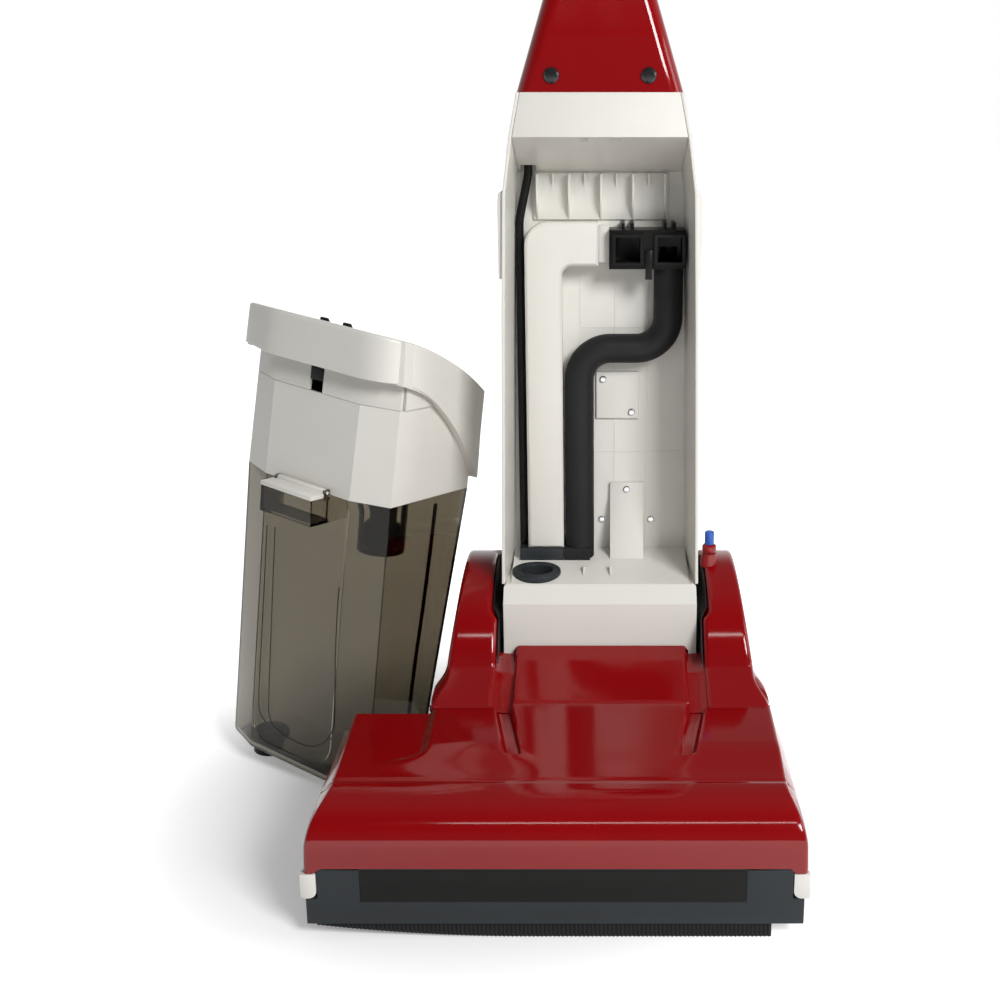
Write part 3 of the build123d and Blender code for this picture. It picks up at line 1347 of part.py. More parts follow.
with BuildPart() as port_manifold:
    slab(
        HEAD,
        (MANIFOLD_LEFT, MANIFOLD_RIGHT),
        (MANIFOLD_FRONT + MANIFOLD_WALL, BAY_BACK - SEAT_GAP),
        (MANIFOLD_LOW, MANIFOLD_TOP),
    )
    half_port = PORT_SIZE / 2
    for port_x in (PORT_LEFT, HOSE_X):
        slab(
            HEAD,
            (port_x - half_port - MANIFOLD_WALL, port_x + half_port + MANIFOLD_WALL),
            (MANIFOLD_FRONT, MANIFOLD_FRONT + 2 * MANIFOLD_WALL),
            (PORT_Z - half_port - MANIFOLD_WALL, PORT_Z + half_port + MANIFOLD_WALL),
        )
        for ear_x in (port_x - half_port / 2, port_x + half_port / 2 - MANIFOLD_WALL):
            slab(
                HEAD,
                (ear_x, ear_x + MANIFOLD_WALL),
                (MANIFOLD_FRONT + 2 * MANIFOLD_WALL, BAY_BACK - SEAT_GAP),
                (MANIFOLD_TOP, MANIFOLD_TOP + 2 * MANIFOLD_WALL),
            )
        slab(
            HEAD,
            (port_x - half_port, port_x + half_port),
            (MANIFOLD_FRONT - WALL, MANIFOLD_FRONT + PORT_DEPTH),
            (PORT_Z - half_port, PORT_Z + half_port),
            Mode.SUBTRACT,
        )
    lug_x = PORT_LEFT + PORT_PITCH / 2
    slab(
        HEAD,
        (lug_x - MANIFOLD_WALL, lug_x + MANIFOLD_WALL),
        (MANIFOLD_FRONT - MANIFOLD_WALL, MANIFOLD_FRONT + 3 * MANIFOLD_WALL),
        (MANIFOLD_LOW - 3 * MANIFOLD_WALL, PORT_Z),
    )
    slab(
        HEAD,
        (MANIFOLD_LEFT - WALL, PORT_LEFT),
        (DUCT_FRONT + collar_wall, MANIFOLD_FRONT + PORT_DEPTH),
        (DUCT_TOP - DUCT_LEG + collar_wall, MANIFOLD_TOP - 2 * MANIFOLD_WALL),
        Mode.SUBTRACT,
    )
    post(HEAD, (HOSE_X, HOSE_Y), HOSE_RADIUS - HOSE_WALL, (MANIFOLD_LOW - WALL, PORT_Z), Mode.SUBTRACT)
save(port_manifold, "port_manifold")


# Suction hose from the manifold down into the block, and the cable beside the duct
with BuildPart() as suction_hose:
    with BuildLine(facing(HEAD, HOSE_Y)) as hose_path:
        FilletPolyline(
            (HOSE_X, MANIFOLD_LOW),
            (HOSE_X, HOSE_CROSS_Z),
            (HOSE_LOW_X, HOSE_CROSS_Z),
            (HOSE_LOW_X, BLOCK_TOP - HOSE_ENTRY),
            radius=HOSE_BEND,
        )
    with BuildSketch(Plane(hose_path.line @ 0, z_dir=hose_path.line % 0)):
        Circle(HOSE_RADIUS)
        Circle(HOSE_RADIUS - HOSE_WALL, mode=Mode.SUBTRACT)
    sweep(path=hose_path.line)
    standing_block(DUCT_RIGHT + SEAT_GAP, DUCT_RIGHT + HOSE_COLLAR_WIDTH)
    hose_bore = (BLOCK_TOP - WALL, FOOT_TOP + WALL)
    post(HEAD, (HOSE_LOW_X, HOSE_Y), HOSE_RADIUS - HOSE_WALL, hose_bore, Mode.SUBTRACT)
save(suction_hose, "suction_hose")

with BuildPart() as bay_cable:
    with BuildLine(facing(HEAD, CABLE_Y)) as cable_path:
        FilletPolyline(
            (CABLE_TOP_X, CEILING_LOW + 3 * WALL),
            (CABLE_TOP_X, FIN_TOP),
            (CABLE_LOW_X, FIN_LOW),
            (CABLE_LOW_X, FLOOR_BACK),
            radius=CABLE_BEND,
        )
    with BuildSketch(Plane(cable_path.line @ 0, z_dir=cable_path.line % 0)):
        Circle(CABLE_RADIUS)
    sweep(path=cable_path.line)
save(bay_cable, "bay_cable")


# Inspection plate, gusset and the screws that hold them
SCREW_INSET = 2.2 * SCREW_RADIUS
PLATE_FRONT = BAY_BACK - PLATE_THICK
GUSSET_RIGHT = GUSSET_LEFT + GUSSET_WIDTH
PLATE_RIGHT = PLATE_LEFT + PLATE_WIDTH
PLATE_TOP = PLATE_LOW + PLATE_HEIGHT

with BuildPart() as inspection_plate:
    slab(
        HEAD,
        (PLATE_LEFT, PLATE_RIGHT),
        (PLATE_FRONT, BAY_BACK),
        (PLATE_LOW, PLATE_TOP),
    )
    chamfer(inspection_plate.faces().sort_by(Axis.Y)[0].edges(), PLATE_THICK / 4)
save(inspection_plate, "inspection_plate")

with BuildPart() as gusset_bracket:
    gusset_back = BAY_BACK - SEAT_GAP
    extrude(
        outline(
            side(HEAD, GUSSET_LEFT),
            (gusset_back, bay_floor(gusset_back)),
            (gusset_back - GUSSET_FOOT, bay_floor(gusset_back - GUSSET_FOOT)),
            (gusset_back - GUSSET_TIP, GUSSET_TOP - 4 * SCREW_RADIUS),
            (gusset_back - GUSSET_TIP, GUSSET_TOP),
            (gusset_back, GUSSET_TOP),
        ),
        amount=GUSSET_WIDTH,
    )
save(gusset_bracket, "gusset_bracket")

with BuildPart() as bay_screws:
    gusset_middle = GUSSET_LEFT + GUSSET_WIDTH / 2
    for screw, seat in (
        ((PLATE_LEFT + SCREW_INSET, PLATE_TOP - SCREW_INSET), PLATE_FRONT),
        ((PLATE_RIGHT - SCREW_INSET, PLATE_LOW + SCREW_INSET), PLATE_FRONT),
        ((gusset_middle, GUSSET_TOP - 2 * SCREW_RADIUS), gusset_back - GUSSET_TIP),
        ((GUSSET_LEFT - GUSSET_SCREW_GAP, GUSSET_SCREW_Z), BAY_BACK),
        ((GUSSET_RIGHT + GUSSET_SCREW_GAP, GUSSET_SCREW_Z), BAY_BACK),
    ):
        stud(HEAD, screw, SCREW_RADIUS, (seat - SCREW_HEAD, seat))
        chamfer(bay_screws.faces(Select.LAST).sort_by(Axis.Y)[0].edges(), SCREW_HEAD / 3)
save(bay_screws, "bay_screws")


# Tank socket: the ring that takes the tank's outlet spigot
with BuildPart() as tank_socket:
    post(HEAD, (SOCKET_X, SOCKET_Y), SOCKET_RADIUS, (BLOCK_TOP - SOCKET_DEPTH, BLOCK_TOP))
    ring_top = BLOCK_TOP + SOCKET_RISE
    post(HEAD, (SOCKET_X, SOCKET_Y), SOCKET_RADIUS + SOCKET_FLANGE, (BLOCK_TOP, ring_top))
    socket_bore = (BLOCK_TOP - SOCKET_DEPTH - WALL, ring_top + WALL)
    post(HEAD, (SOCKET_X, SOCKET_Y), SOCKET_BORE, socket_bore, Mode.SUBTRACT)
    chamfer(tank_socket.faces().sort_by(Axis.Z)[-1].edges(), WALL / 3)
save(tank_socket, "tank_socket")


# Vacuum motor and its fan in the drum
FAN_LEFT = VAC_HALF - FAN_CHAMBER
PIVOT_AXIS = (PIVOT_Y, PIVOT_Z)

with BuildPart() as vacuum_motor:
    bar(HEAD, (-CHAMBER_HALF, FAN_LEFT - WALL), PIVOT_AXIS, VAC_RADIUS)
    bar(HEAD, (0, FAN_LEFT), PIVOT_AXIS, FAN_SHAFT_RADIUS + SHAFT_FIT, Mode.SUBTRACT)
save(vacuum_motor, "vacuum_motor")

with BuildPart() as vacuum_fan:
    bar(HEAD, (FAN_LEFT, FAN_LEFT + WALL), PIVOT_AXIS, FAN_RADIUS)
    bar(HEAD, (FAN_LEFT, VAC_HALF), PIVOT_AXIS, 3 * FAN_SHAFT_RADIUS)
    bar(HEAD, (FAN_SHAFT_RADIUS, FAN_LEFT), PIVOT_AXIS, FAN_SHAFT_RADIUS)
    with BuildSketch(side(HEAD, FAN_LEFT + WALL)):
        with Locations(PIVOT_AXIS):
            with PolarLocations(2 * FAN_SHAFT_RADIUS, FAN_BLADES):
                Rectangle(FAN_RADIUS - 3 * FAN_SHAFT_RADIUS, FIN_THICK, align=(Align.MIN, Align.CENTER))
    extrude(amount=FAN_CHAMBER / 2)
save(vacuum_fan, "vacuum_fan")


# Neck: a hollow shell that narrows from the spine to the handle tube
def neck_section(height, width, front, depth, inset):
    """Level section of the neck with rounded corners."""
    with BuildSketch(level(HEAD, height)) as section:
        with Locations((0, front + depth / 2)):
            RectangleRounded(width - 2 * inset, depth - 2 * inset, NECK_ROUND - inset)
    return section.sketch


NECK_TOP_FRONT = TUBE_Y - NECK_TOP_DEPTH / 2
NECK_STATIONS = (
    (BAND_TOP, 2 * SPINE_TOP_HALF, BAY_FRONT, NECK_DEPTH),
    (BAND_TOP + (NECK_TOP - BAND_TOP) * 0.25, 2 * SPINE_TOP_HALF * 0.8, BAY_FRONT + 2, NECK_DEPTH * 0.97),
    (BAND_TOP + (NECK_TOP - BAND_TOP) * 0.6, 2 * SPINE_TOP_HALF * 0.53, BAY_FRONT + 20, NECK_DEPTH * 0.75),
    (NECK_TOP, NECK_TOP_WIDTH, NECK_TOP_FRONT, NECK_TOP_DEPTH),
)
SCREW_SLOPE = (NECK_SCREW_Z - BAND_TOP) / (NECK_STATIONS[1][0] - BAND_TOP)
NECK_SCREW_FACE = BAY_FRONT + SCREW_SLOPE * 2

with BuildPart() as neck:
    loft([neck_section(*station, 0) for station in NECK_STATIONS], ruled=True)
    neck_core = [neck_section(*station, NECK_WALL) for station in NECK_STATIONS[:3]]
    loft(neck_core, ruled=True, mode=Mode.SUBTRACT)
    with BuildSketch(level(HEAD, NECK_STATIONS[2][0] - WALL)):
        with Locations((0, TUBE_Y)):
            Ellipse(TUBE_WIDTH / 2 + SEAT_GAP, TUBE_DEPTH / 2 + SEAT_GAP)
    extrude(amount=NECK_TOP - NECK_STATIONS[2][0] + 2 * WALL, mode=Mode.SUBTRACT)
    for screw_x in both(NECK_SCREW_X):
        stud(
            HEAD,
            (screw_x, NECK_SCREW_Z),
            NECK_SCREW_RADIUS,
            (BAY_FRONT - WALL, NECK_SCREW_FACE + 0.5),
            Mode.SUBTRACT,
        )
save(neck, "neck")

with BuildPart() as neck_screws:
    for screw_x in both(NECK_SCREW_X):
        stud(
            HEAD,
            (screw_x, NECK_SCREW_Z),
            NECK_SCREW_RADIUS - SEAT_GAP,
            (NECK_SCREW_FACE - WALL, NECK_SCREW_FACE + 0.5),
        )
    chamfer(neck_screws.faces().filter_by(Axis.Y).group_by(Axis.Y)[0].edges(), WALL * 0.6)
save(neck_screws, "neck_screws")

with BuildPart() as handle_tube:
    with BuildSketch(level(HEAD, NECK_TOP - TUBE_ENTRY)):
        with Locations((0, TUBE_Y)):
            Ellipse(TUBE_WIDTH / 2, TUBE_DEPTH / 2)
            Ellipse(TUBE_WIDTH / 2 - TUBE_WALL, TUBE_DEPTH / 2 - TUBE_WALL, mode=Mode.SUBTRACT)
    extrude(amount=GRIP_BASE_Z + GRIP_BASE_HEIGHT * 0.7 - NECK_TOP + TUBE_ENTRY)
save(handle_tube, "handle_tube")


# Loop grip with a trigger under its top bar and two rocker switches in its base
GRIP_LOW = GRIP_BASE_Z + GRIP_BASE_HEIGHT / 2
GRIP_HEIGHT = GRIP_TOP - GRIP_LOW
GRIP_MID = GRIP_LOW + GRIP_HEIGHT / 2
LOOP_TOP = GRIP_TOP - GRIP_BAR
BASE_HALF = TUBE_WIDTH / 2 + 2 * WALL
BASE_FRONT = TUBE_Y - TUBE_DEPTH / 2 - 4 * WALL
BASE_BACK = TUBE_Y + TUBE_DEPTH / 2 + 2 * WALL
TRIGGER_HINGE = (TUBE_Y - TRIGGER_LENGTH / 2, LOOP_TOP + 2 * TRIGGER_PIN_RADIUS)
ROCKER_Z = GRIP_BASE_Z + GRIP_BASE_HEIGHT / 2
ROCKER_HINGE = (BASE_FRONT + ROCKER_DEPTH / 2, ROCKER_Z)
ROCKER_X = ROCKER_WIDTH * 0.65

with BuildPart() as grip:
    with BuildSketch(side(HEAD, -GRIP_HALF)):
        with Locations((TUBE_Y, GRIP_MID)):
            RectangleRounded(GRIP_DEPTH, GRIP_HEIGHT, GRIP_DEPTH * 0.4)
            RectangleRounded(
                GRIP_DEPTH - 2 * GRIP_BAR,
                GRIP_HEIGHT - 2 * GRIP_BAR,
                GRIP_DEPTH * 0.4 - GRIP_BAR + WALL,
                mode=Mode.SUBTRACT,
            )
    extrude(amount=2 * GRIP_HALF)
    fillet(grip.faces().filter_by(Axis.X).edges(), GRIP_EDGE)
    slab(HEAD, both(BASE_HALF), (BASE_FRONT, BASE_BACK), (GRIP_BASE_Z, GRIP_BASE_Z + GRIP_BASE_HEIGHT))
    fillet(grip.edges().filter_by(Axis.Z).filter_by(lambda e: e.center().Z < GRIP_LOW + WALL), WALL)
    with BuildSketch(level(HEAD, GRIP_BASE_Z - WALL)):
        with Locations((0, TUBE_Y)):
            Ellipse(TUBE_WIDTH / 2 + SEAT_GAP, TUBE_DEPTH / 2 + SEAT_GAP)
    extrude(amount=GRIP_BASE_HEIGHT * 0.7 + WALL, mode=Mode.SUBTRACT)
    slab(
        HEAD,
        both(TRIGGER_HALF + RUN_GAP),
        (TRIGGER_HINGE[0] - 3 * TRIGGER_PIN_RADIUS, TRIGGER_HINGE[0] + TRIGGER_LENGTH + 2 * WALL),
        (LOOP_TOP - 4 * WALL, LOOP_TOP + GRIP_BAR * 0.55),
        Mode.SUBTRACT,
    )
    bar(HEAD, both(TRIGGER_HALF + 2 * WALL), TRIGGER_HINGE, TRIGGER_PIN_RADIUS + SHAFT_FIT, Mode.SUBTRACT)
    for rocker_x in both(ROCKER_X):
        slab(
            HEAD,
            (rocker_x - ROCKER_WIDTH / 2 - RUN_GAP, rocker_x + ROCKER_WIDTH / 2 + RUN_GAP),
            (TUBE_Y - GRIP_DEPTH / 2 - WALL, BASE_FRONT + ROCKER_DEPTH + 1.5),
            (ROCKER_Z - ROCKER_HEIGHT / 2 - 1.5, ROCKER_Z + ROCKER_HEIGHT / 2 + 1.5),
            Mode.SUBTRACT,
        )
    bar(
        HEAD,
        both(ROCKER_X + ROCKER_WIDTH / 2 + WALL),
        ROCKER_HINGE,
        ROCKER_PIN_RADIUS + SHAFT_FIT,
        Mode.SUBTRACT,
    )
save(grip, "grip")

with BuildPart() as trigger:
    extrude(
        outline(
            side(HEAD, -TRIGGER_HALF),
            (TRIGGER_HINGE[0] - 2 * TRIGGER_PIN_RADIUS, TRIGGER_HINGE[1]),
            (TRIGGER_HINGE[0] - TRIGGER_PIN_RADIUS, LOOP_TOP - WALL),
            (TRIGGER_HINGE[0] + TRIGGER_LENGTH / 2, LOOP_TOP - 3 * WALL),
            (TRIGGER_HINGE[0] + TRIGGER_LENGTH, LOOP_TOP - 2 * WALL),
            (TRIGGER_HINGE[0] + TRIGGER_LENGTH, LOOP_TOP + WALL),
            (TRIGGER_HINGE[0] + TRIGGER_PIN_RADIUS, TRIGGER_HINGE[1] + 2 * TRIGGER_PIN_RADIUS),
        ),
        amount=2 * TRIGGER_HALF,
    )
    bar(HEAD, both(TRIGGER_HALF + 2 * WALL - RUN_GAP), TRIGGER_HINGE, TRIGGER_PIN_RADIUS)
save(trigger, "trigger")


def rocker(middle, outer):
    """Rocker switch with a hollow-backed face and a stub axle to each side."""
    rocker_low = ROCKER_Z - ROCKER_HEIGHT / 2
    rocker_top = ROCKER_Z + ROCKER_HEIGHT / 2
    extrude(
        outline(
            side(HEAD, middle - ROCKER_WIDTH / 2),
            (BASE_FRONT - WALL, rocker_low),
            (BASE_FRONT - WALL / 2, ROCKER_Z),
            (BASE_FRONT - WALL, rocker_top),
            (BASE_FRONT + ROCKER_DEPTH / 2, rocker_top),
            (BASE_FRONT + ROCKER_DEPTH, ROCKER_Z + ROCKER_HEIGHT / 5),
            (BASE_FRONT + ROCKER_DEPTH, ROCKER_Z - ROCKER_HEIGHT / 5),
            (BASE_FRONT + ROCKER_DEPTH / 2, rocker_low),
        ),
        amount=ROCKER_WIDTH,
    )
    stub = sorted((middle, middle + outer * (ROCKER_WIDTH / 2 + WALL - RUN_GAP)))
    bar(HEAD, stub, ROCKER_HINGE, ROCKER_PIN_RADIUS)
    bar(HEAD, sorted((middle, outer * RUN_GAP)), ROCKER_HINGE, ROCKER_PIN_RADIUS)


with BuildPart() as left_rocker:
    rocker(-ROCKER_X, -1)
save(left_rocker, "left_rocker")

with BuildPart() as right_rocker:
    rocker(ROCKER_X, 1)
save(right_rocker, "right_rocker")


# Tank set, drawn in its own frame: x along its front, y to its back, z up its front face
YAW = radians(TANK_YAW)
LEAN = radians(TANK_LEAN)
TIP = radians(TANK_TIP)
LEVEL_FRONT = Vector(cos(YAW), -sin(YAW), 0)
TIPPED_UP = Vector(sin(YAW) * sin(TIP), cos(YAW) * sin(TIP), cos(TIP))
TANK_ACROSS = LEVEL_FRONT * cos(LEAN) - TIPPED_UP * sin(LEAN)
TANK_UP = TIPPED_UP * cos(LEAN) + LEVEL_FRONT * sin(LEAN)
TANK_BACKWARD = TANK_UP.cross(TANK_ACROSS)

# The far corner of the sole and the spigot's rim both stand on the floor
SOLE_CORNER = (TANK_HALF - SOLE_INSET, TANK_BOTTOM_DEPTH - SOLE_INSET)
TANK_FLOOR = -SOLE_CORNER[0] * TANK_ACROSS.Z - SOLE_CORNER[1] * TANK_BACKWARD.Z
SPIGOT_FOOT = TANK_FLOOR + SPIGOT_X * TANK_ACROSS.Z + SPIGOT_Y * TANK_BACKWARD.Z
SPIGOT_LENGTH = (SPIGOT_FOOT - SPIGOT_RADIUS * hypot(TANK_ACROSS.Z, TANK_BACKWARD.Z)) / TANK_UP.Z
TANK = Plane(
    origin=(SPINE_X + TANK_X, FRONT_Y + TANK_Y, TANK_FLOOR),
    x_dir=TANK_ACROSS,
    z_dir=TANK_UP,
)
FACET_SLOPE = TANK_FACET / (TANK_HALF - TANK_CREASE)


def swept_corner(half, front):
    """Depth of the corner between a side and its swept-back facet."""
    return front + (half - TANK_CREASE) * FACET_SLOPE


def swept_section(height, half, front, back):
    """Level section with a flat middle and a swept-back facet on each side of it."""
    corner = swept_corner(half, front)
    return outline(
        level(TANK, height),
        (-half, corner),
        (-TANK_CREASE, front),
        (TANK_CREASE, front),
        (half, corner),
        (half, back),
        (-half, back),
    )


def tank_section(height, depth, inset):
    """Level section of the lower tank, inset from its outside."""
    return swept_section(height, TANK_HALF - inset, inset, depth - inset)


def upper_front(height):
    """Depth of the upper tank's leaning front face at a height."""
    return (height - TANK_SPLIT) * tan(radians(UPPER_DRAFT))


def upper_half(height):
    """Half width of the upper tank at a height."""
    return TANK_HALF - (height - TANK_SPLIT) * tan(radians(UPPER_SIDE_DRAFT))


def upper_section(height, inset):
    """Level section of the upper tank, inset from its outside."""
    return swept_section(
        height, upper_half(height) - inset, upper_front(height) + inset, TANK_DEPTH - inset
    )


def tank_depth(height):
    """Depth of the lower tank at a height."""
    return TANK_BOTTOM_DEPTH + (TANK_DEPTH - TANK_BOTTOM_DEPTH) * height / TANK_SPLIT


SPOUT_LEFT = SPOUT_CENTRE - SPOUT_WIDTH / 2
SPOUT_RIGHT = SPOUT_CENTRE + SPOUT_WIDTH / 2
SPOUT_TOP = TANK_SPLIT - 2.0
SPOUT_LOW = SPOUT_TOP - SPOUT_HEIGHT
FLAP_LOW = SPOUT_TOP + SEAT_GAP
FLAP_HINGE = (-FLAP_BARREL_RADIUS - 2 * RUN_GAP, FLAP_LOW + FLAP_THICK)
EAR_FRONT = FLAP_HINGE[0] - FLAP_BARREL_RADIUS - RUN_GAP
EAR_TOP = FLAP_HINGE[1] + 2 * FLAP_PIN_RADIUS
EAR_SWING = hypot(FLAP_HINGE[0] - EAR_FRONT, EAR_TOP - FLAP_HINGE[1])
FLAP_REAR = FLAP_HINGE[0] - EAR_SWING - RUN_GAP

with BuildPart() as tank_shell:
    loft(
        [
            tank_section(0, TANK_BOTTOM_DEPTH, SOLE_INSET),
            tank_section(SOLE_HEIGHT * 0.3, tank_depth(SOLE_HEIGHT * 0.3), SOLE_INSET * 0.3),
            tank_section(SOLE_HEIGHT, tank_depth(SOLE_HEIGHT), 0),
            tank_section(TANK_SPLIT, TANK_DEPTH, 0),
        ],
        ruled=True,
    )
    with BuildSketch(facing(TANK, PANEL_GROOVE)):
        with Locations((0, PANEL_LOW + TANK_SPLIT / 2)):
            RectangleRounded(2 * TANK_CREASE, TANK_SPLIT, PANEL_ROUND)
            RectangleRounded(
                2 * (TANK_CREASE - PANEL_GROOVE),
                TANK_SPLIT - 2 * PANEL_GROOVE,
                PANEL_ROUND - PANEL_GROOVE,
                mode=Mode.SUBTRACT,
            )
    extrude(amount=2 * PANEL_GROOVE, mode=Mode.SUBTRACT)
    slab(TANK, (SPOUT_LEFT, SPOUT_RIGHT), (-SPOUT_REACH, 2 * TANK_WALL), (SPOUT_LOW, SPOUT_TOP))
    ear_y = (EAR_FRONT, FLAP_HINGE[0] + 2 * FLAP_PIN_RADIUS)
    for ear_x in (SPOUT_LEFT, SPOUT_RIGHT - TANK_WALL):
        slab(TANK, (ear_x, ear_x + TANK_WALL), ear_y, (SPOUT_LOW, EAR_TOP))
    loft(
        [
            tank_section(TANK_WALL, tank_depth(TANK_WALL), TANK_WALL + SOLE_INSET),
            tank_section(SOLE_HEIGHT + TANK_WALL, tank_depth(SOLE_HEIGHT), TANK_WALL),
            tank_section(TANK_SPLIT, TANK_DEPTH, TANK_WALL),
        ],
        ruled=True,
        mode=Mode.SUBTRACT,
    )
    slab(
        TANK,
        (SPOUT_LEFT + TANK_WALL, SPOUT_RIGHT - TANK_WALL),
        (TANK_WALL - SPOUT_REACH, 0),
        (SPOUT_LOW + TANK_WALL, SPOUT_TOP + WALL),
        Mode.SUBTRACT,
    )
    slab(
        TANK,
        (SPOUT_LEFT + 2 * TANK_WALL, SPOUT_RIGHT - 2 * TANK_WALL),
        (-TANK_WALL, 4 * TANK_WALL),
        (SPOUT_LOW + TANK_WALL, SPOUT_TOP - 2 * TANK_WALL),
        Mode.SUBTRACT,
    )
    hinge_span = (SPOUT_LEFT - WALL, SPOUT_RIGHT + WALL)
    bar(TANK, hinge_span, FLAP_HINGE, FLAP_PIN_RADIUS + SHAFT_FIT, Mode.SUBTRACT)
    post(TANK, (SPIGOT_X, SPIGOT_Y), SPIGOT_RADIUS + SEAT_GAP, (-WALL, 2 * TANK_WALL), Mode.SUBTRACT)
save(tank_shell, "tank_shell")

with BuildPart() as filler_flap:
    slab(
        TANK,
        (SPOUT_LEFT, SPOUT_RIGHT),
        (-SPOUT_REACH - 1, FLAP_REAR),
        (FLAP_LOW, FLAP_LOW + FLAP_THICK),
    )
    barrel = (SPOUT_LEFT + TANK_WALL + RUN_GAP, SPOUT_RIGHT - TANK_WALL - RUN_GAP)
    slab(TANK, barrel, (FLAP_REAR, FLAP_HINGE[0]), (FLAP_LOW, FLAP_LOW + FLAP_THICK))
    bar(TANK, barrel, FLAP_HINGE, FLAP_BARREL_RADIUS)
    bar(TANK, (SPOUT_LEFT, SPOUT_RIGHT), FLAP_HINGE, FLAP_PIN_RADIUS)
save(filler_flap, "filler_flap")


# Upper tank: the white recovery part with a floor that closes the lower tank
UPPER_LOW = TANK_SPLIT + SEAT_GAP
PORT_V = HOOD_CHEEK_LOW + PORT_SIZE
HOOD_HALF = TANK_HALF + HOOD_OVERHANG
HOOD_BACK = TANK_DEPTH + SEAT_GAP + HOOD_SKIN
BAND_FRONT = -HOOD_OVERHANG


def under_hood(across, drop, low):
    """Side outline from a level up to the hood's arched top, less a drop."""
    middle = (BAND_FRONT + HOOD_BACK) / 2
    crown = (HOOD_TOP + HOOD_SHOULDER) / 2 + HOOD_CROWN
    with BuildSketch(side(TANK, across)) as face:
        with BuildLine():
            top = ThreePointArc(
                (BAND_FRONT, HOOD_TOP - drop),
                (middle, crown - drop),
                (HOOD_BACK, HOOD_SHOULDER - drop),
            )
            Polyline(top @ 1, (HOOD_BACK, low), (BAND_FRONT, low), top @ 0)
        make_face()
    return face.sketch


with BuildPart() as tank_upper:
    loft([upper_section(UPPER_LOW, 0), upper_section(TANK_SEAM, 0)], ruled=True)
    loft(
        [upper_section(UPPER_LOW + WALL, WALL), upper_section(TANK_SEAM, WALL)],
        ruled=True,
        mode=Mode.SUBTRACT,
    )
    rim_room = under_hood(-HOOD_HALF, HOOD_SKIN + SEAT_GAP, UPPER_LOW)
    extrude(rim_room, amount=2 * HOOD_HALF, mode=Mode.INTERSECT)
    for port_x in (PORT_LEFT, HOSE_X):
        slab(
            TANK,
            (port_x - half_port, port_x + half_port),
            (TANK_DEPTH - 2 * WALL, TANK_DEPTH + WALL),
            (PORT_V - half_port, PORT_V + half_port),
            Mode.SUBTRACT,
        )
    slab(
        TANK,
        (SPOUT_LEFT - RUN_GAP, SPOUT_RIGHT + RUN_GAP),
        (-WALL, RUN_GAP),
        (UPPER_LOW - WALL, EAR_TOP + RUN_GAP),
        Mode.SUBTRACT,
    )
    float_hole = (UPPER_LOW - WALL, UPPER_LOW + 2 * WALL)
    post(TANK, (FLOAT_X, FLOAT_Y), FLOAT_RADIUS / 2, float_hole, Mode.SUBTRACT)
save(tank_upper, "tank_upper")


# Hood: its rim overhangs the front and its cheeks sweep down to the back
CHEEK_IN = TANK_HALF + SEAT_GAP
SKIRT_LOW = TANK_SEAM + RUN_GAP
SKIRT_BACK = TANK_DEPTH / 2
RIM_BACK = upper_front(HOOD_LOW) + WALL
SLOT_LEFT = LATCH_SHIFT - FINGER_SLOT / 2 - FINGER_SHIFT
SLOT_RIGHT = SLOT_LEFT + FINGER_SLOT
SLOT_TOP = SKIRT_LOW + FINGER_SLOT_HEIGHT
HOOK_FRONT = HOOK_SETBACK
HOOK_BACK = HOOK_FRONT + HOOK_THICK + HOOK_BARB
HOOK_TOP = HOOD_TOP - HOOK_DROP


def hood_section(height, draft):
    """Level section of the hood with rounded front corners."""
    half = HOOD_HALF - draft
    front = BAND_FRONT + draft
    corner = swept_corner(half, front)
    with BuildSketch(level(TANK, height)) as section:
        Polygon(
            (-half, corner),
            (-TANK_CREASE, front),
            (TANK_CREASE, front),
            (half, corner),
            (half, HOOD_BACK),
            (-half, HOOD_BACK),
            align=None,
        )
        creases = section.vertices().filter_by(lambda v: abs(v.X) < TANK_CREASE + WALL)
        corners = section.vertices().filter_by(lambda v: abs(v.X) > half - WALL and v.Y < corner + WALL)
        fillet(creases, HOOD_BLEND)
        fillet(corners, HOOD_CORNER)
    return section.sketch


def under_cheek(across):
    """Everything below the swept lower edge of a cheek."""
    low = HOOD_CHEEK_LOW - WALL
    middle = (HOOD_BACK / 2, (HOOD_LOW + HOOD_CHEEK_LOW) / 2 + HOOD_CHEEK_BOW)
    with BuildSketch(side(TANK, across)) as face:
        with BuildLine():
            edge = ThreePointArc((0, HOOD_LOW), middle, (HOOD_BACK, HOOD_CHEEK_LOW))
            Polyline(
                edge @ 1,
                (HOOD_BACK + WALL, HOOD_CHEEK_LOW),
                (HOOD_BACK + WALL, low),
                (BAND_FRONT - WALL, low),
                (BAND_FRONT - WALL, HOOD_LOW),
                edge @ 0,
            )
        make_face()
    return face.sketch


def tank_skirt(height):
    """Level section of the skirt that stands on the front rim of the upper tank."""
    half = upper_half(height)
    front = upper_front(height)
    corner = swept_corner(half, front)
    return outline(
        level(TANK, height),
        (-half, corner),
        (-TANK_CREASE, front),
        (TANK_CREASE, front),
        (half, corner),
        (half, corner + WALL),
        (TANK_CREASE, front + WALL),
        (-TANK_CREASE, front + WALL),
        (-half, corner + WALL),
    )


with BuildPart() as hood_room:
    loft(
        [
            swept_section(HOOD_CHEEK_LOW - WALL, CHEEK_IN, RIM_BACK, HOOD_BACK - HOOD_SKIN),
            swept_section(HOOD_TOP, CHEEK_IN, RIM_BACK, HOOD_BACK - HOOD_SKIN),
        ],
        ruled=True,
    )
    room_face = under_hood(-HOOD_HALF, HOOD_SKIN, HOOD_CHEEK_LOW - WALL)
    extrude(room_face, amount=2 * HOOD_HALF, mode=Mode.INTERSECT)

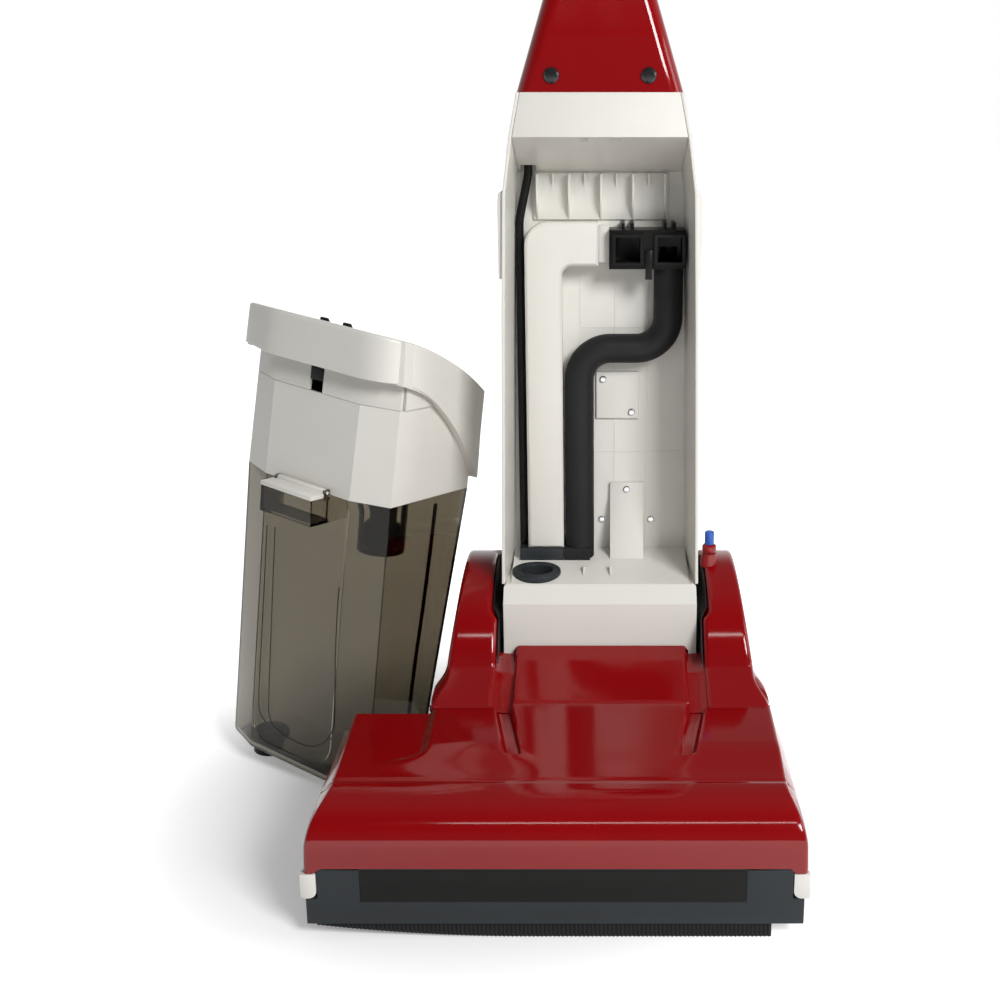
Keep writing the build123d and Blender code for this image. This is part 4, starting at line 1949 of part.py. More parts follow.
with BuildPart() as hood:
    loft(
        [
            hood_section(HOOD_CHEEK_LOW, 0),
            hood_section(HOOD_LOW, 0),
            hood_section(HOOD_TOP, HOOD_DRAFT),
        ],
        ruled=True,
    )
    extrude(under_hood(-HOOD_HALF, 0, HOOD_CHEEK_LOW), amount=2 * HOOD_HALF, mode=Mode.INTERSECT)
    for cheek_x in (-HOOD_HALF - WALL, CHEEK_IN):
        extrude(under_cheek(cheek_x), amount=HOOD_HALF - CHEEK_IN + WALL, mode=Mode.SUBTRACT)
    slab(
        TANK,
        both(CHEEK_IN),
        (BAND_FRONT - WALL, SKIRT_BACK),
        (HOOD_CHEEK_LOW - WALL, HOOD_LOW),
        Mode.SUBTRACT,
    )
    add(hood_room.part, mode=Mode.SUBTRACT)
    loft([tank_skirt(SKIRT_LOW), tank_skirt(HOOD_LOW + WALL)], ruled=True)
    for cheek in (-1, 1):
        skirt_wall = sorted((cheek * (upper_half(HOOD_LOW) - WALL), cheek * (CHEEK_IN + SEAT_GAP)))
        slab(TANK, skirt_wall, (TANK_FACET + RIM_BACK, SKIRT_BACK), (SKIRT_LOW, HOOD_LOW + WALL))
    slab(TANK, (SLOT_LEFT, SLOT_RIGHT), (0, RIM_BACK + WALL), (SKIRT_LOW - WALL, SLOT_TOP), Mode.SUBTRACT)
    for hook_side in (-1, 1):
        hook_x = LATCH_SHIFT + hook_side * HOOK_PITCH / 2
        slab(
            TANK,
            (hook_x - HOOK_WIDTH / 2 - RUN_GAP, hook_x + HOOK_WIDTH / 2 + RUN_GAP),
            (HOOK_FRONT - RUN_GAP, HOOK_BACK + RUN_GAP),
            (HOOD_LOW + 2 * WALL, HOOD_TOP + WALL),
            Mode.SUBTRACT,
        )
    for port_x in (PORT_LEFT, HOSE_X):
        slab(
            TANK,
            (port_x - half_port, port_x + half_port),
            (TANK_DEPTH - WALL, HOOD_BACK + WALL),
            (PORT_V - half_port, PORT_V + half_port),
            Mode.SUBTRACT,
        )
save(hood, "hood")


# Sprung tank latch behind the hood's skirt: finger tab in the slot, two hooks through the top
PLATE_PLACE = RIM_BACK + RUN_GAP
LATCH_PLATE_LOW = SKIRT_LOW + TANK_LATCH_TRAVEL + WALL
LATCH_PLATE_TOP = HOOD_LOW + 3 * WALL

with BuildPart() as tank_latch:
    latch_span = (LATCH_SHIFT - TANK_LATCH_WIDTH / 2, LATCH_SHIFT + TANK_LATCH_WIDTH / 2)
    plate_z = (LATCH_PLATE_LOW, LATCH_PLATE_TOP)
    slab(TANK, latch_span, (PLATE_PLACE, PLATE_PLACE + HOOK_THICK), plate_z)
    shelf_z = (LATCH_PLATE_TOP - HOOK_THICK, LATCH_PLATE_TOP)
    slab(TANK, latch_span, (PLATE_PLACE, HOOK_FRONT + HOOK_THICK), shelf_z)
    slab(
        TANK,
        (SLOT_LEFT + 2 * RUN_GAP, SLOT_RIGHT - 2 * RUN_GAP),
        (upper_front(LATCH_PLATE_LOW), PLATE_PLACE),
        (LATCH_PLATE_LOW, LATCH_PLATE_LOW + FINGER_HEIGHT),
    )
    for hook_side in (-1, 1):
        hook_x = LATCH_SHIFT + hook_side * HOOK_PITCH / 2
        extrude(
            outline(
                side(TANK, hook_x - HOOK_WIDTH / 2),
                (HOOK_FRONT, LATCH_PLATE_TOP - HOOK_THICK),
                (HOOK_FRONT + HOOK_THICK, LATCH_PLATE_TOP - HOOK_THICK),
                (HOOK_FRONT + HOOK_THICK, HOOK_TOP - HOOK_BARB_HEIGHT),
                (HOOK_BACK, HOOK_TOP - HOOK_BARB_HEIGHT),
                (HOOK_FRONT + HOOK_THICK, HOOK_TOP),
                (HOOK_FRONT, HOOK_TOP),
            ),
            amount=HOOK_WIDTH,
        )
save(tank_latch, "tank_latch")


# Float cage under the upper tank's floor and the float that rises in it
CAGE_LOW = TANK_SPLIT - CAGE_LENGTH
CAGE_INNER = CAGE_RADIUS - TANK_WALL

with BuildPart() as float_cage:
    post(TANK, (FLOAT_X, FLOAT_Y), CAGE_RADIUS, (CAGE_LOW, UPPER_LOW))
    cage_room = (CAGE_LOW + TANK_WALL, UPPER_LOW - TANK_WALL)
    post(TANK, (FLOAT_X, FLOAT_Y), CAGE_INNER, cage_room, Mode.SUBTRACT)
    for hole_z in ((UPPER_LOW - 2 * WALL, UPPER_LOW + WALL), (CAGE_LOW - WALL, CAGE_LOW + 2 * WALL)):
        post(TANK, (FLOAT_X, FLOAT_Y), FLOAT_RADIUS / 2, hole_z, Mode.SUBTRACT)
    for slot_turn in (0, 90):
        with BuildSketch(level(TANK, CAGE_LOW + 2 * TANK_WALL)):
            with Locations(Location((FLOAT_X, FLOAT_Y, 0), slot_turn)):
                Rectangle(2 * CAGE_RADIUS + WALL, CAGE_RADIUS / 2)
        extrude(amount=CAGE_LENGTH - 4 * TANK_WALL, mode=Mode.SUBTRACT)
save(float_cage, "float_cage")

with BuildPart() as float_body:
    float_low = CAGE_LOW + TANK_WALL
    post(TANK, (FLOAT_X, FLOAT_Y), FLOAT_RADIUS, (float_low, float_low + FLOAT_LENGTH))
    chamfer(float_body.edges(), WALL)
save(float_body, "float_body")


# Outlet spigot in the tank's floor, on which the leaning tank rests, and its sprung valve pin
FLANGE_TOP = TANK_WALL + SPIGOT_FLANGE_THICK

with BuildPart() as outlet_spigot:
    post(TANK, (SPIGOT_X, SPIGOT_Y), SPIGOT_RADIUS, (-SPIGOT_LENGTH, FLANGE_TOP))
    post(TANK, (SPIGOT_X, SPIGOT_Y), SPIGOT_FLANGE, (TANK_WALL, FLANGE_TOP))
    spigot_bore = (-SPIGOT_LENGTH - WALL, FLANGE_TOP + WALL)
    post(TANK, (SPIGOT_X, SPIGOT_Y), SPIGOT_BORE, spigot_bore, Mode.SUBTRACT)
    guide_low = WALL - SPIGOT_LENGTH
    slab(
        TANK,
        (SPIGOT_X - SPIGOT_BORE - 1, SPIGOT_X + SPIGOT_BORE + 1),
        (SPIGOT_Y - WALL, SPIGOT_Y + WALL),
        (guide_low, guide_low + 2 * WALL),
    )
    post(TANK, (SPIGOT_X, SPIGOT_Y), 1.6 * VALVE_STEM_RADIUS, (guide_low, guide_low + 2 * WALL))
    stem_hole = (-SPIGOT_LENGTH, FLANGE_TOP)
    post(TANK, (SPIGOT_X, SPIGOT_Y), VALVE_STEM_RADIUS + SHAFT_FIT, stem_hole, Mode.SUBTRACT)
save(outlet_spigot, "outlet_spigot")

with BuildPart() as valve_pin:
    post(TANK, (SPIGOT_X, SPIGOT_Y), VALVE_STEM_RADIUS, (guide_low, FLANGE_TOP))
    post(TANK, (SPIGOT_X, SPIGOT_Y), VALVE_DISC_RADIUS, (FLANGE_TOP, FLANGE_TOP + WALL))
save(valve_pin, "valve_pin")


# Seals round the two ports in the back of the hood
with BuildPart() as port_seals:
    for port_x in (PORT_LEFT, HOSE_X):
        with BuildSketch(facing(TANK, HOOD_BACK + SEAL_THICK)):
            with Locations((port_x, PORT_V)):
                Rectangle(PORT_SIZE + 2 * SEAL_THICK, PORT_SIZE + 2 * SEAL_THICK)
                Rectangle(PORT_SIZE, PORT_SIZE, mode=Mode.SUBTRACT)
    extrude(amount=SEAL_THICK)
save(port_seals, "port_seals")
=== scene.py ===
import json
import math
import random

import bpy
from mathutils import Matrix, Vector


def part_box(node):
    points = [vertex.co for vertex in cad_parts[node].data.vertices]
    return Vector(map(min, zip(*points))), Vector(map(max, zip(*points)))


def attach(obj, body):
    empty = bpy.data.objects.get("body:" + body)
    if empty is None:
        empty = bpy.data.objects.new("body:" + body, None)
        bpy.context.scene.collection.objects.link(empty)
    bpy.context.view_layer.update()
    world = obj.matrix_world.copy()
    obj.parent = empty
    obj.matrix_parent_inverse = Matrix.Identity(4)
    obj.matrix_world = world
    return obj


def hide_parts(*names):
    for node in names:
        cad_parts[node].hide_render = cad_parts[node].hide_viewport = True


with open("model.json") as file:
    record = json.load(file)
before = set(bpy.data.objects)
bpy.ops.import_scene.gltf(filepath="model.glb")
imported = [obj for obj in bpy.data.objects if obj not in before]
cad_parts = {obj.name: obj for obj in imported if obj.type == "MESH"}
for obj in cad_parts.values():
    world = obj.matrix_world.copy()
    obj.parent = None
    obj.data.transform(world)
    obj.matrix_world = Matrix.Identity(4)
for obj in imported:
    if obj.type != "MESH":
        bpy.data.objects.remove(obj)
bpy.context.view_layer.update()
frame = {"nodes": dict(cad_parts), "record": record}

nodes = frame["nodes"]
scene = bpy.context.scene

# Head frame of the solids: x from the upright's mid-plane, y from the bumper's face, z from the floor
spine_lo, spine_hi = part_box("spine_channel")
MID_X = (spine_lo.x + spine_hi.x) / 2
FACE_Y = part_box("bumper")[0].y


def at(x, y, z):
    """A point of the head frame, in millimetres, as a place in the shared frame."""
    return Vector((MID_X + x / 1000, FACE_Y + y / 1000, z / 1000))


# Camera at the photograph's place, with its focal length in pixels of the square picture
PICTURE, FOCAL = 1000.0, 1407.0
PITCH, SHIFT = 16.2, -0.1
SENSOR = 36.0
CAMERA_AT = (0.0, -1023.3, 677.8)
NEAR, FAR = 0.05, 60.0
camera_data = bpy.data.cameras.new("camera")
camera = bpy.data.objects.new("camera", camera_data)
scene.collection.objects.link(camera)
camera_data.sensor_width = SENSOR
camera_data.lens = FOCAL / PICTURE * SENSOR
camera_data.shift_x = SHIFT
camera_data.clip_start = NEAR
camera_data.clip_end = FAR
camera.location = at(*CAMERA_AT)
camera.rotation_euler = (math.radians(90 - PITCH), 0, 0)
scene.camera = camera
scene.view_settings.view_transform = "Standard"


# Materials: scales of the noises, spans that they are spread over, and the relief's depth in metres
DRIFT_SCALE, MOTTLE_SCALE = 9.0, 35.0
STREAK_SCALE, STREAK_ROUGH = 300.0, 0.6
HAZE_SCALE, CLOUD_SCALE, RIPPLE_SCALE = 24.0, 6.0, 40.0
UNIT = (0.0, 1.0)
TINT_STOPS = (0.3, 0.7)
MOTTLE_SPAN, MOULDED_GLOSS = (0.25, 0.75), (0.85, 1.18)
METAL_TINT, METAL_GLOSS = (0.85, 1.1), (0.8, 1.3)
SMOKE_TINT, SMOKE_ROUGH, SMOKE_IOR = (0.94, 1.05), (0.03, 0.09), 1.3
WORN_SPAN, WORN_GAIN, WORN_LIFT = (0.53, 0.62), 1.25, 0.03
RELIEF, RIPPLE_HEIGHT = 0.0004, 0.05


def new_material(name):
    """A material with its node tree and its main shader."""
    material = bpy.data.materials.new(name)
    material.use_nodes = True
    tree = material.node_tree
    return material, tree, tree.nodes["Principled BSDF"]


def noise(tree, scale, detail, rough=0.55, stretch=(1, 1, 1)):
    """Noise in object space, so that it stays with the piece."""
    place = tree.nodes.new("ShaderNodeTexCoord")
    mapping = tree.nodes.new("ShaderNodeMapping")
    mapping.inputs["Scale"].default_value = stretch
    tree.links.new(place.outputs["Object"], mapping.inputs["Vector"])
    made = tree.nodes.new("ShaderNodeTexNoise")
    made.inputs["Scale"].default_value = scale
    made.inputs["Detail"].default_value = detail
    made.inputs["Roughness"].default_value = rough
    tree.links.new(mapping.outputs["Vector"], made.inputs["Vector"])
    return made.outputs["Fac"]


def mapped(tree, source, from_span, to_span, kind="LINEAR"):
    """A value brought from one span to another."""
    made = tree.nodes.new("ShaderNodeMapRange")
    made.interpolation_type = kind
    made.inputs["From Min"].default_value, made.inputs["From Max"].default_value = from_span
    made.inputs["To Min"].default_value, made.inputs["To Max"].default_value = to_span
    tree.links.new(source, made.inputs["Value"])
    return made.outputs["Result"]


def shade(colour, factor):
    """A colour made darker or lighter."""
    return tuple(min(1.0, c * factor) for c in colour) + (1.0,)


def tinted(tree, source, colour, factors):
    """Two shades of a colour, mixed by a noise."""
    made = tree.nodes.new("ShaderNodeValToRGB")
    for stop, place, factor in zip(made.color_ramp.elements, TINT_STOPS, factors):
        stop.position = place
        stop.color = shade(colour, factor)
    tree.links.new(source, made.inputs["Fac"])
    return made.outputs["Color"]


def worn(tree, tint, colour, wear):
    """The tint, with lighter convex edges."""
    geometry = tree.nodes.new("ShaderNodeNewGeometry")
    edge = mapped(tree, geometry.outputs["Pointiness"], WORN_SPAN, (0.0, wear))
    mix = tree.nodes.new("ShaderNodeMix")
    mix.data_type = "RGBA"
    mix.inputs["B"].default_value = shade([c * WORN_GAIN + WORN_LIFT for c in colour], 1.0)
    tree.links.new(edge, mix.inputs["Factor"])
    tree.links.new(tint, mix.inputs["A"])
    return mix.outputs["Result"]


def bumped(tree, shader, source, height):
    """Fine relief of the surface."""
    bump = tree.nodes.new("ShaderNodeBump")
    bump.inputs["Strength"].default_value = height
    bump.inputs["Distance"].default_value = RELIEF
    tree.links.new(source, bump.inputs["Height"])
    tree.links.new(bump.outputs["Normal"], shader.inputs["Normal"])


def moulded(name, colour, rough, grain, grain_height, vary, spec, wear):
    """Moulded plastic: slight colour drift, mottled gloss, fine grain and worn edges."""
    material, tree, shader = new_material(name)
    shader.inputs["Base Color"].default_value = shade(colour, 1.0)
    shader.inputs["Specular IOR Level"].default_value = spec
    tint = tinted(tree, noise(tree, DRIFT_SCALE, 3.0), colour, (1 - vary, 1 + vary))
    if wear > 0:
        tint = worn(tree, tint, colour, wear)
    tree.links.new(tint, shader.inputs["Base Color"])
    mottle = noise(tree, MOTTLE_SCALE, 5.0)
    gloss = mapped(tree, mottle, MOTTLE_SPAN, [rough * share for share in MOULDED_GLOSS])
    tree.links.new(gloss, shader.inputs["Roughness"])
    bumped(tree, shader, noise(tree, grain, 2.0), grain_height)
    return material


def metal(name, colour, rough, stretch):
    """Brushed or cast metal."""
    material, tree, shader = new_material(name)
    shader.inputs["Base Color"].default_value = shade(colour, 1.0)
    shader.inputs["Metallic"].default_value = 1.0
    streak = noise(tree, STREAK_SCALE, 4.0, STREAK_ROUGH, stretch)
    tree.links.new(tinted(tree, streak, colour, METAL_TINT), shader.inputs["Base Color"])
    gloss = mapped(tree, streak, UNIT, [rough * share for share in METAL_GLOSS])
    tree.links.new(gloss, shader.inputs["Roughness"])
    return material


def smoked(name, colour):
    """Clear smoky plastic with a little moulding haze."""
    material, tree, shader = new_material(name)
    shader.inputs["Base Color"].default_value = shade(colour, 1.0)
    shader.inputs["Transmission Weight"].default_value = 1.0
    shader.inputs["IOR"].default_value = SMOKE_IOR
    gloss = mapped(tree, noise(tree, HAZE_SCALE, 4.0), UNIT, SMOKE_ROUGH)
    tree.links.new(gloss, shader.inputs["Roughness"])
    tint = tinted(tree, noise(tree, CLOUD_SCALE, 2.0), colour, SMOKE_TINT)
    tree.links.new(tint, shader.inputs["Base Color"])
    bumped(tree, shader, noise(tree, RIPPLE_SCALE, 2.0), RIPPLE_HEIGHT)
    return material


# Plastics: colour, roughness, scale and height of the grain, colour drift, specular level and edge wear
PLASTICS = {
    "red_shell": ((0.235, 0.0025, 0.004), 0.09, 700, 0.010, 0.05, 0.4, 0.08),
    "cream_shell": ((0.72, 0.705, 0.655), 0.32, 1100, 0.03, 0.025, 0.5, 0.08),
    "grey_plastic": ((0.025, 0.029, 0.032), 0.42, 1000, 0.05, 0.08, 0.2, 0.2),
    "black_plastic": ((0.006, 0.006, 0.0055), 0.36, 1000, 0.05, 0.1, 0.15, 0.2),
    "black_rubber": ((0.015, 0.015, 0.016), 0.55, 700, 0.12, 0.12, 0.2, 0.0),
    "switch_red": ((0.42, 0.012, 0.02), 0.25, 1000, 0.02, 0.04, 0.5, 0.0),
    "blue_knob": ((0.015, 0.09, 0.42), 0.25, 1000, 0.02, 0.05, 0.5, 0.0),
    # sheet_metal is near-black as painted shade: the chassis seen in the gaps beside the block reads as
    # their shadow; its own colour is not seen
    "sheet_metal": ((0.012, 0.012, 0.013), 0.38, 900, 0.06, 0.15, 0.3, 0.35),
    "brush_plastic": ((0.03, 0.03, 0.033), 0.6, 500, 0.3, 0.2, 0.3, 0.0),
    "screw_black": ((0.012, 0.012, 0.012), 0.2, 900, 0.03, 0.1, 0.5, 0.3),
    "handle_metal": ((0.42, 0.42, 0.42), 0.35, 900, 0.04, 0.05, 0.5, 0.2),
}
# Metals: colour, roughness and stretch of the streaks
METALS = {
    "steel": ((0.6, 0.6, 0.61), 0.25, (10, 1, 1)),
    "motor_metal": ((0.42, 0.43, 0.44), 0.45, (1, 1, 1)),
    "screw_steel": ((0.62, 0.62, 0.62), 0.22, (1, 1, 1)),
}
SMOKE = (0.30, 0.275, 0.225)
SLOTS = {name: moulded(name, *look) for name, look in PLASTICS.items()}
SLOTS.update({name: metal(name, *look) for name, look in METALS.items()})
SLOTS["smoky_tank"] = smoked("smoky_tank", SMOKE)


# Edges: bevel widths in millimetres, the least angle of a sharp edge in degrees, the weld in metres
EDGE, EDGE_ANGLE = 0.4, 34
WELD_GAP = 0.00002
EDGES = {
    "spine_channel": 0.8,
    "lower_block": 1.6,
    "hood": 2.2,
    "tank_upper": 2.2,
    "tank_shell": 0,
    "bumper": 1.0,
    "neck": 1.2,
    "grip": 0.8,
    "rear_cover": 1.2,
    "air_duct": 0.8,
    "port_manifold": 0.8,
    "top_band": 0.7,
    "front_lip": 0,
    "bristles": 0,
    "suction_hose": 0,
    "bay_cable": 0,
}
FINE = {"tank_upper": 12}
FLAT = {"rear_cover", "neck", "hood", "tank_upper", "lower_block", "spine_channel", "grip"}


def smooth_group(limit):
    """Node group that shades smooth and keeps the edges over the limit sharp."""
    group = bpy.data.node_groups.new("smooth_by_angle", "GeometryNodeTree")
    group.interface.new_socket("Geometry", in_out="INPUT", socket_type="NodeSocketGeometry")
    group.interface.new_socket("Geometry", in_out="OUTPUT", socket_type="NodeSocketGeometry")
    start = group.nodes.new("NodeGroupInput")
    end = group.nodes.new("NodeGroupOutput")
    faces = group.nodes.new("GeometryNodeSetShadeSmooth")
    faces.domain = "FACE"
    edges = group.nodes.new("GeometryNodeSetShadeSmooth")
    edges.domain = "EDGE"
    angle = group.nodes.new("GeometryNodeInputMeshEdgeAngle")
    compare = group.nodes.new("FunctionNodeCompare")
    compare.operation = "LESS_EQUAL"
    compare.inputs["B"].default_value = math.radians(limit)
    group.links.new(angle.outputs["Unsigned Angle"], compare.inputs["A"])
    group.links.new(compare.outputs["Result"], edges.inputs["Shade Smooth"])
    group.links.new(start.outputs["Geometry"], faces.inputs["Geometry"])
    group.links.new(faces.outputs["Geometry"], edges.inputs["Geometry"])
    group.links.new(edges.outputs["Geometry"], end.inputs["Geometry"])
    return group


SMOOTH = smooth_group(EDGE_ANGLE)


def weld(piece):
    """Join the points that lie on each other."""
    made = piece.modifiers.new("weld", "WELD")
    made.merge_threshold = WELD_GAP


def smooth(piece):
    """Shade the curved faces smooth."""
    made = piece.modifiers.new("smooth", "NODES")
    made.node_group = SMOOTH


def thicken(piece, wall, offset):
    """Give a skin its wall, in millimetres: inside it at offset -1, half and half at 0."""
    made = piece.modifiers.new("shell", "SOLIDIFY")
    made.thickness = wall / 1000
    made.offset = offset


def soften(piece, width, limit):
    """Weld the facets, round the edges and shade the curved faces smooth."""
    weld(piece)
    if width > 0:
        bevel = piece.modifiers.new("bevel", "BEVEL")
        bevel.width = width / 1000
        bevel.segments = 2
        bevel.limit_method = "ANGLE"
        bevel.angle_limit = math.radians(limit)
        bevel.use_clamp_overlap = True
    smooth(piece)
    if piece.name in FLAT:
        even = piece.modifiers.new("even", "WEIGHTED_NORMAL")
        even.keep_sharp = True


for entry in frame["record"]["subparts"]:
    name = entry["node"]
    node = nodes[name]
    node.data.materials.clear()
    node.data.materials.append(SLOTS[entry["material_slot"]])
    soften(node, EDGES.get(name, EDGE), FINE.get(name, EDGE_ANGLE))


# Pieces made as meshes, from head-frame points in millimetres

def build(name, verts, faces, body, slot, instead_of=()):
    """A mesh piece of head-frame points that rides on a body and may stand for CAD nodes."""
    mesh = bpy.data.meshes.new(name)
    mesh.from_pydata([at(*v) for v in verts], [], faces)
    mesh.materials.append(SLOTS[slot])
    piece = bpy.data.objects.new(name, mesh)
    scene.collection.objects.link(piece)
    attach(piece, body)
    if instead_of:
        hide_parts(*instead_of)
    return piece


def put(verts, points):
    """Add points to a mesh and give their numbers."""
    first = len(verts)
    verts.extend(points)
    return list(range(first, len(verts)))


def grid_faces(rows, flip=False):
    """Faces between neighbouring rows of points."""
    made = []
    for low, high in zip(rows, rows[1:]):
        for a, b, c, d in zip(low, low[1:], high[1:], high):
            made.append((d, c, b, a) if flip else (a, b, c, d))
    return made


def ring_faces(rows):
    """Faces between neighbouring rows that close into rings."""
    return grid_faces([row + row[:1] for row in rows])


def bar_faces(rows):
    """Faces of a bar between its rings of corners, with both ends closed."""
    return ring_faces(rows) + [rows[0][::-1], rows[-1]]


def spaced(start, end, steps):
    """Evenly spaced values from start to end."""
    return [start + (end - start) * i / steps for i in range(steps + 1)]


def rise(low, high, value):
    """Smooth step from 0 at low to 1 at high."""
    t = min(1.0, max(0.0, (value - low) / (high - low)))
    return t * t * (3 - 2 * t)


def reading(table, value):
    """Straight-line reading of a table of (place, height) pairs."""
    for (a, u), (b, v) in zip(table, table[1:]):
        if value <= b:
            return u + (v - u) * max(0.0, (value - a) / (b - a))
    return table[-1][1]


def with_normals(points):
    """Points of a flat run with the normals on its left-hand side."""
    made = []
    for i, (s, t) in enumerate(points):
        before, after = points[max(0, i - 1)], points[min(len(points) - 1, i + 1)]
        ds, dt = after[0] - before[0], after[1] - before[1]
        size = math.hypot(ds, dt)
        made.append((s, t, -dt / size, ds / size))
    return made


def bezier(a, b, c, d, count):
    """Points of a cubic curve after its first one."""
    made = []
    for i in range(1, count + 1):
        t = i / count
        parts = ((1 - t) ** 3, 3 * t * (1 - t) ** 2, 3 * t * t * (1 - t), t ** 3)
        made.append(tuple(sum(k * p[j] for k, p in zip(parts, (a, b, c, d))) for j in range(2)))
    return made


# Red covers of the floor head: smooth skins drawn along a side outline, rounded over both ends
RIM_STEPS = [0.0, 0.06, 0.2, 0.4, 0.68, 1.0]
RED_WALL = 2.4
WALL_LEAST = 0.05


def rim_columns(left, right, rim, inner):
    """Places along the width: close together over the rounded ends, then the inner ones."""
    ends = [rim * share for share in RIM_STEPS]
    return [left + d for d in ends] + inner + [right - d for d in reversed(ends)]


def skin_rows(verts, profile, left_of, right_of, inner_of, rim, form=None):
    """Rows of points along the outline, with the ends drawn in along the normals."""
    rows = []
    for y, z, ny, nz in with_normals(profile):
        left, right = left_of(y, z), right_of(y, z)
        points = []
        for x in rim_columns(left, right, rim, inner_of(left, right, y)):
            edge = max(0.0, rim - min(x - left, right - x))
            inset = rim - math.sqrt(max(0.0, rim * rim - edge * edge))
            lift = form(x, y, z, nz) if form else 0.0
            points.append((x, y - ny * inset, z - nz * inset + lift))
        rows.append(put(verts, points))
    return rows


def end_wall(verts, rows, side, wall_x, low_of, steps=8):
    """Columns from the skin's end, at its highest for each depth, down to the wall's lower edge."""
    highest = {}
    for row in rows:
        index = row[side]
        y, z = verts[index][1:]
        place = round(y, 1)
        if place not in highest or z > verts[highest[place]][2]:
            highest[place] = index
    columns = []
    for index in highest.values():
        y, z = verts[index][1:]
        heights = spaced(z, min(low_of(y), z - WALL_LEAST), steps)[1:]
        columns.append([index] + put(verts, [(wall_x(y, height), y, height) for height in heights]))
    return columns


def red_skin(name, verts, faces, instead_of):
    """A red cover that stands for its CAD node, with the wall's thickness inside."""
    piece = build(name, verts, faces, "base", "red_shell", instead_of)
    weld(piece)
    thicken(piece, RED_WALL, -1.0)
    smooth(piece)


# Front cover: upright front with a lower skirt at each end, roll and deck
COVER_LEFT, COVER_RIGHT, COVER_BACK = -243.8, 171.4, 165.0
COVER_LOW, COVER_RIM = 65.4, 4.0
SKIRT_LOW, SKIRT_DEEP = 61.0, 16.0
LEFT_SKIRT, RIGHT_SKIRT = (-234.0, -231.5), (158.5, 161.0)
ROLL_SPRING, ROLL_HIGH, ROLL_DEEP = 84.4, 35.0, 47.0
DECK_GRADE, DECK_NORMAL = 9.0 / 130.0, 0.9
CREASE_Y, CREASE_HALF, CREASE_DEPTH = 50.0, 5.0, 0.7
BACK_GAP, BACK_LOW = (-58.0, 148.0), 121.6
# Bulge in the middle, shoulders beside it, valleys between them at the back and a flat left end
FORM_FRONT, SHOULDER_BACK = 53.0, 106.0
BULGE_RISE, BULGE_HALF, BULGE_TAPER = 10.0, 82.0, 13.0
SHOULDER_RISE = 6.0
BLEND_SHARP, BLEND_SOFT, BLEND_SPAN = 1.2, 16.0, (78.0, 96.0)
VALLEY_FRONT, VALLEY_LEAD, VALLEY_SETTLE = 90.0, 4.0, 1.5
VALLEY_WIDE, VALLEY_INNER, VALLEY_FOOT, VALLEY_OUTER = 15.5, 0.8, 1.8, 5.0
SHELF_EDGE, SHELF_SPREAD, SHELF_SPAN = (-158.0, -149.0), 40.0, (74.0, 96.0)
# How far the ends are drawn in at a height, and the right end's share of it
END_DRAW = [
    (65.4, 0.0), (84.4, 0.9), (90.0, 1.7), (98.0, 3.5), (104.0, 5.5),
    (108.0, 7.5), (112.0, 10.0), (116.0, 13.2), (119.4, 16.2), (124.0, 17.2),
]
RIGHT_SHARE = 0.8
LEFT_END = [(z, COVER_LEFT + inset) for z, inset in END_DRAW]
RIGHT_END = [(z, COVER_RIGHT - inset * RIGHT_SHARE) for z, inset in END_DRAW]
# Steps of the outline, and columns that are pulled along with the bulge's edges
FRONT_STEPS, ROLL_STEPS, BACK_STEPS = 5, 40, 4
CREASE_PITCH, DECK_PITCH = 1.0, 1.8
PLAN_LEFT, PLAN_PITCH, PLAN_COUNT = -190.0, 1.9, 164
PULL_IN, PULL_OUT = (12.0, 72.0), (98.0, 140.0)
LEFT_STEPS, RIGHT_STEPS = 14, 16


def taper(y):
    """How far inside its widest place the bulge's edge lies at a depth."""
    return BULGE_TAPER * (COVER_BACK - max(y, FORM_FRONT)) / (COVER_BACK - VALLEY_FRONT)


def deck_form(x, y):
    """Height of the bulge and shoulders over the plain deck, with the valleys taken out."""
    across = abs(x)
    bulge = BULGE_RISE * min(1.0, max(0.0, (y - FORM_FRONT) / (COVER_BACK - FORM_FRONT)))
    shoulder = SHOULDER_RISE * rise(FORM_FRONT, SHOULDER_BACK, y)
    edge = BULGE_HALF - taper(y)
    merge = BLEND_SHARP + BLEND_SOFT * (1 - rise(*BLEND_SPAN, y))
    height = bulge + (shoulder - bulge) * rise(edge - merge, edge + merge, across)
    inside = rise(edge - VALLEY_INNER, edge + VALLEY_FOOT, across)
    outside = 1 - rise(edge + VALLEY_WIDE - VALLEY_OUTER, edge + VALLEY_WIDE, across)
    height *= 1 - inside * outside * rise(VALLEY_FRONT - VALLEY_LEAD, VALLEY_FRONT + VALLEY_SETTLE, y)
    spread = SHELF_SPREAD * (1 - rise(*SHELF_SPAN, y))
    return height * rise(SHELF_EDGE[0] - spread, SHELF_EDGE[1], x)


def cover_form(x, y, z, nz):
    """All that lifts or lowers the front cover's plain outline."""
    if z <= COVER_LOW:
        return (SKIRT_LOW - COVER_LOW) * (1 - rise(*LEFT_SKIRT, x) + rise(*RIGHT_SKIRT, x))
    if nz < DECK_NORMAL:
        return 0.0
    crease = CREASE_DEPTH * (1 - rise(0.0, CREASE_HALF, abs(y - CREASE_Y)))
    return (deck_form(x, y) if y > FORM_FRONT else 0.0) - crease


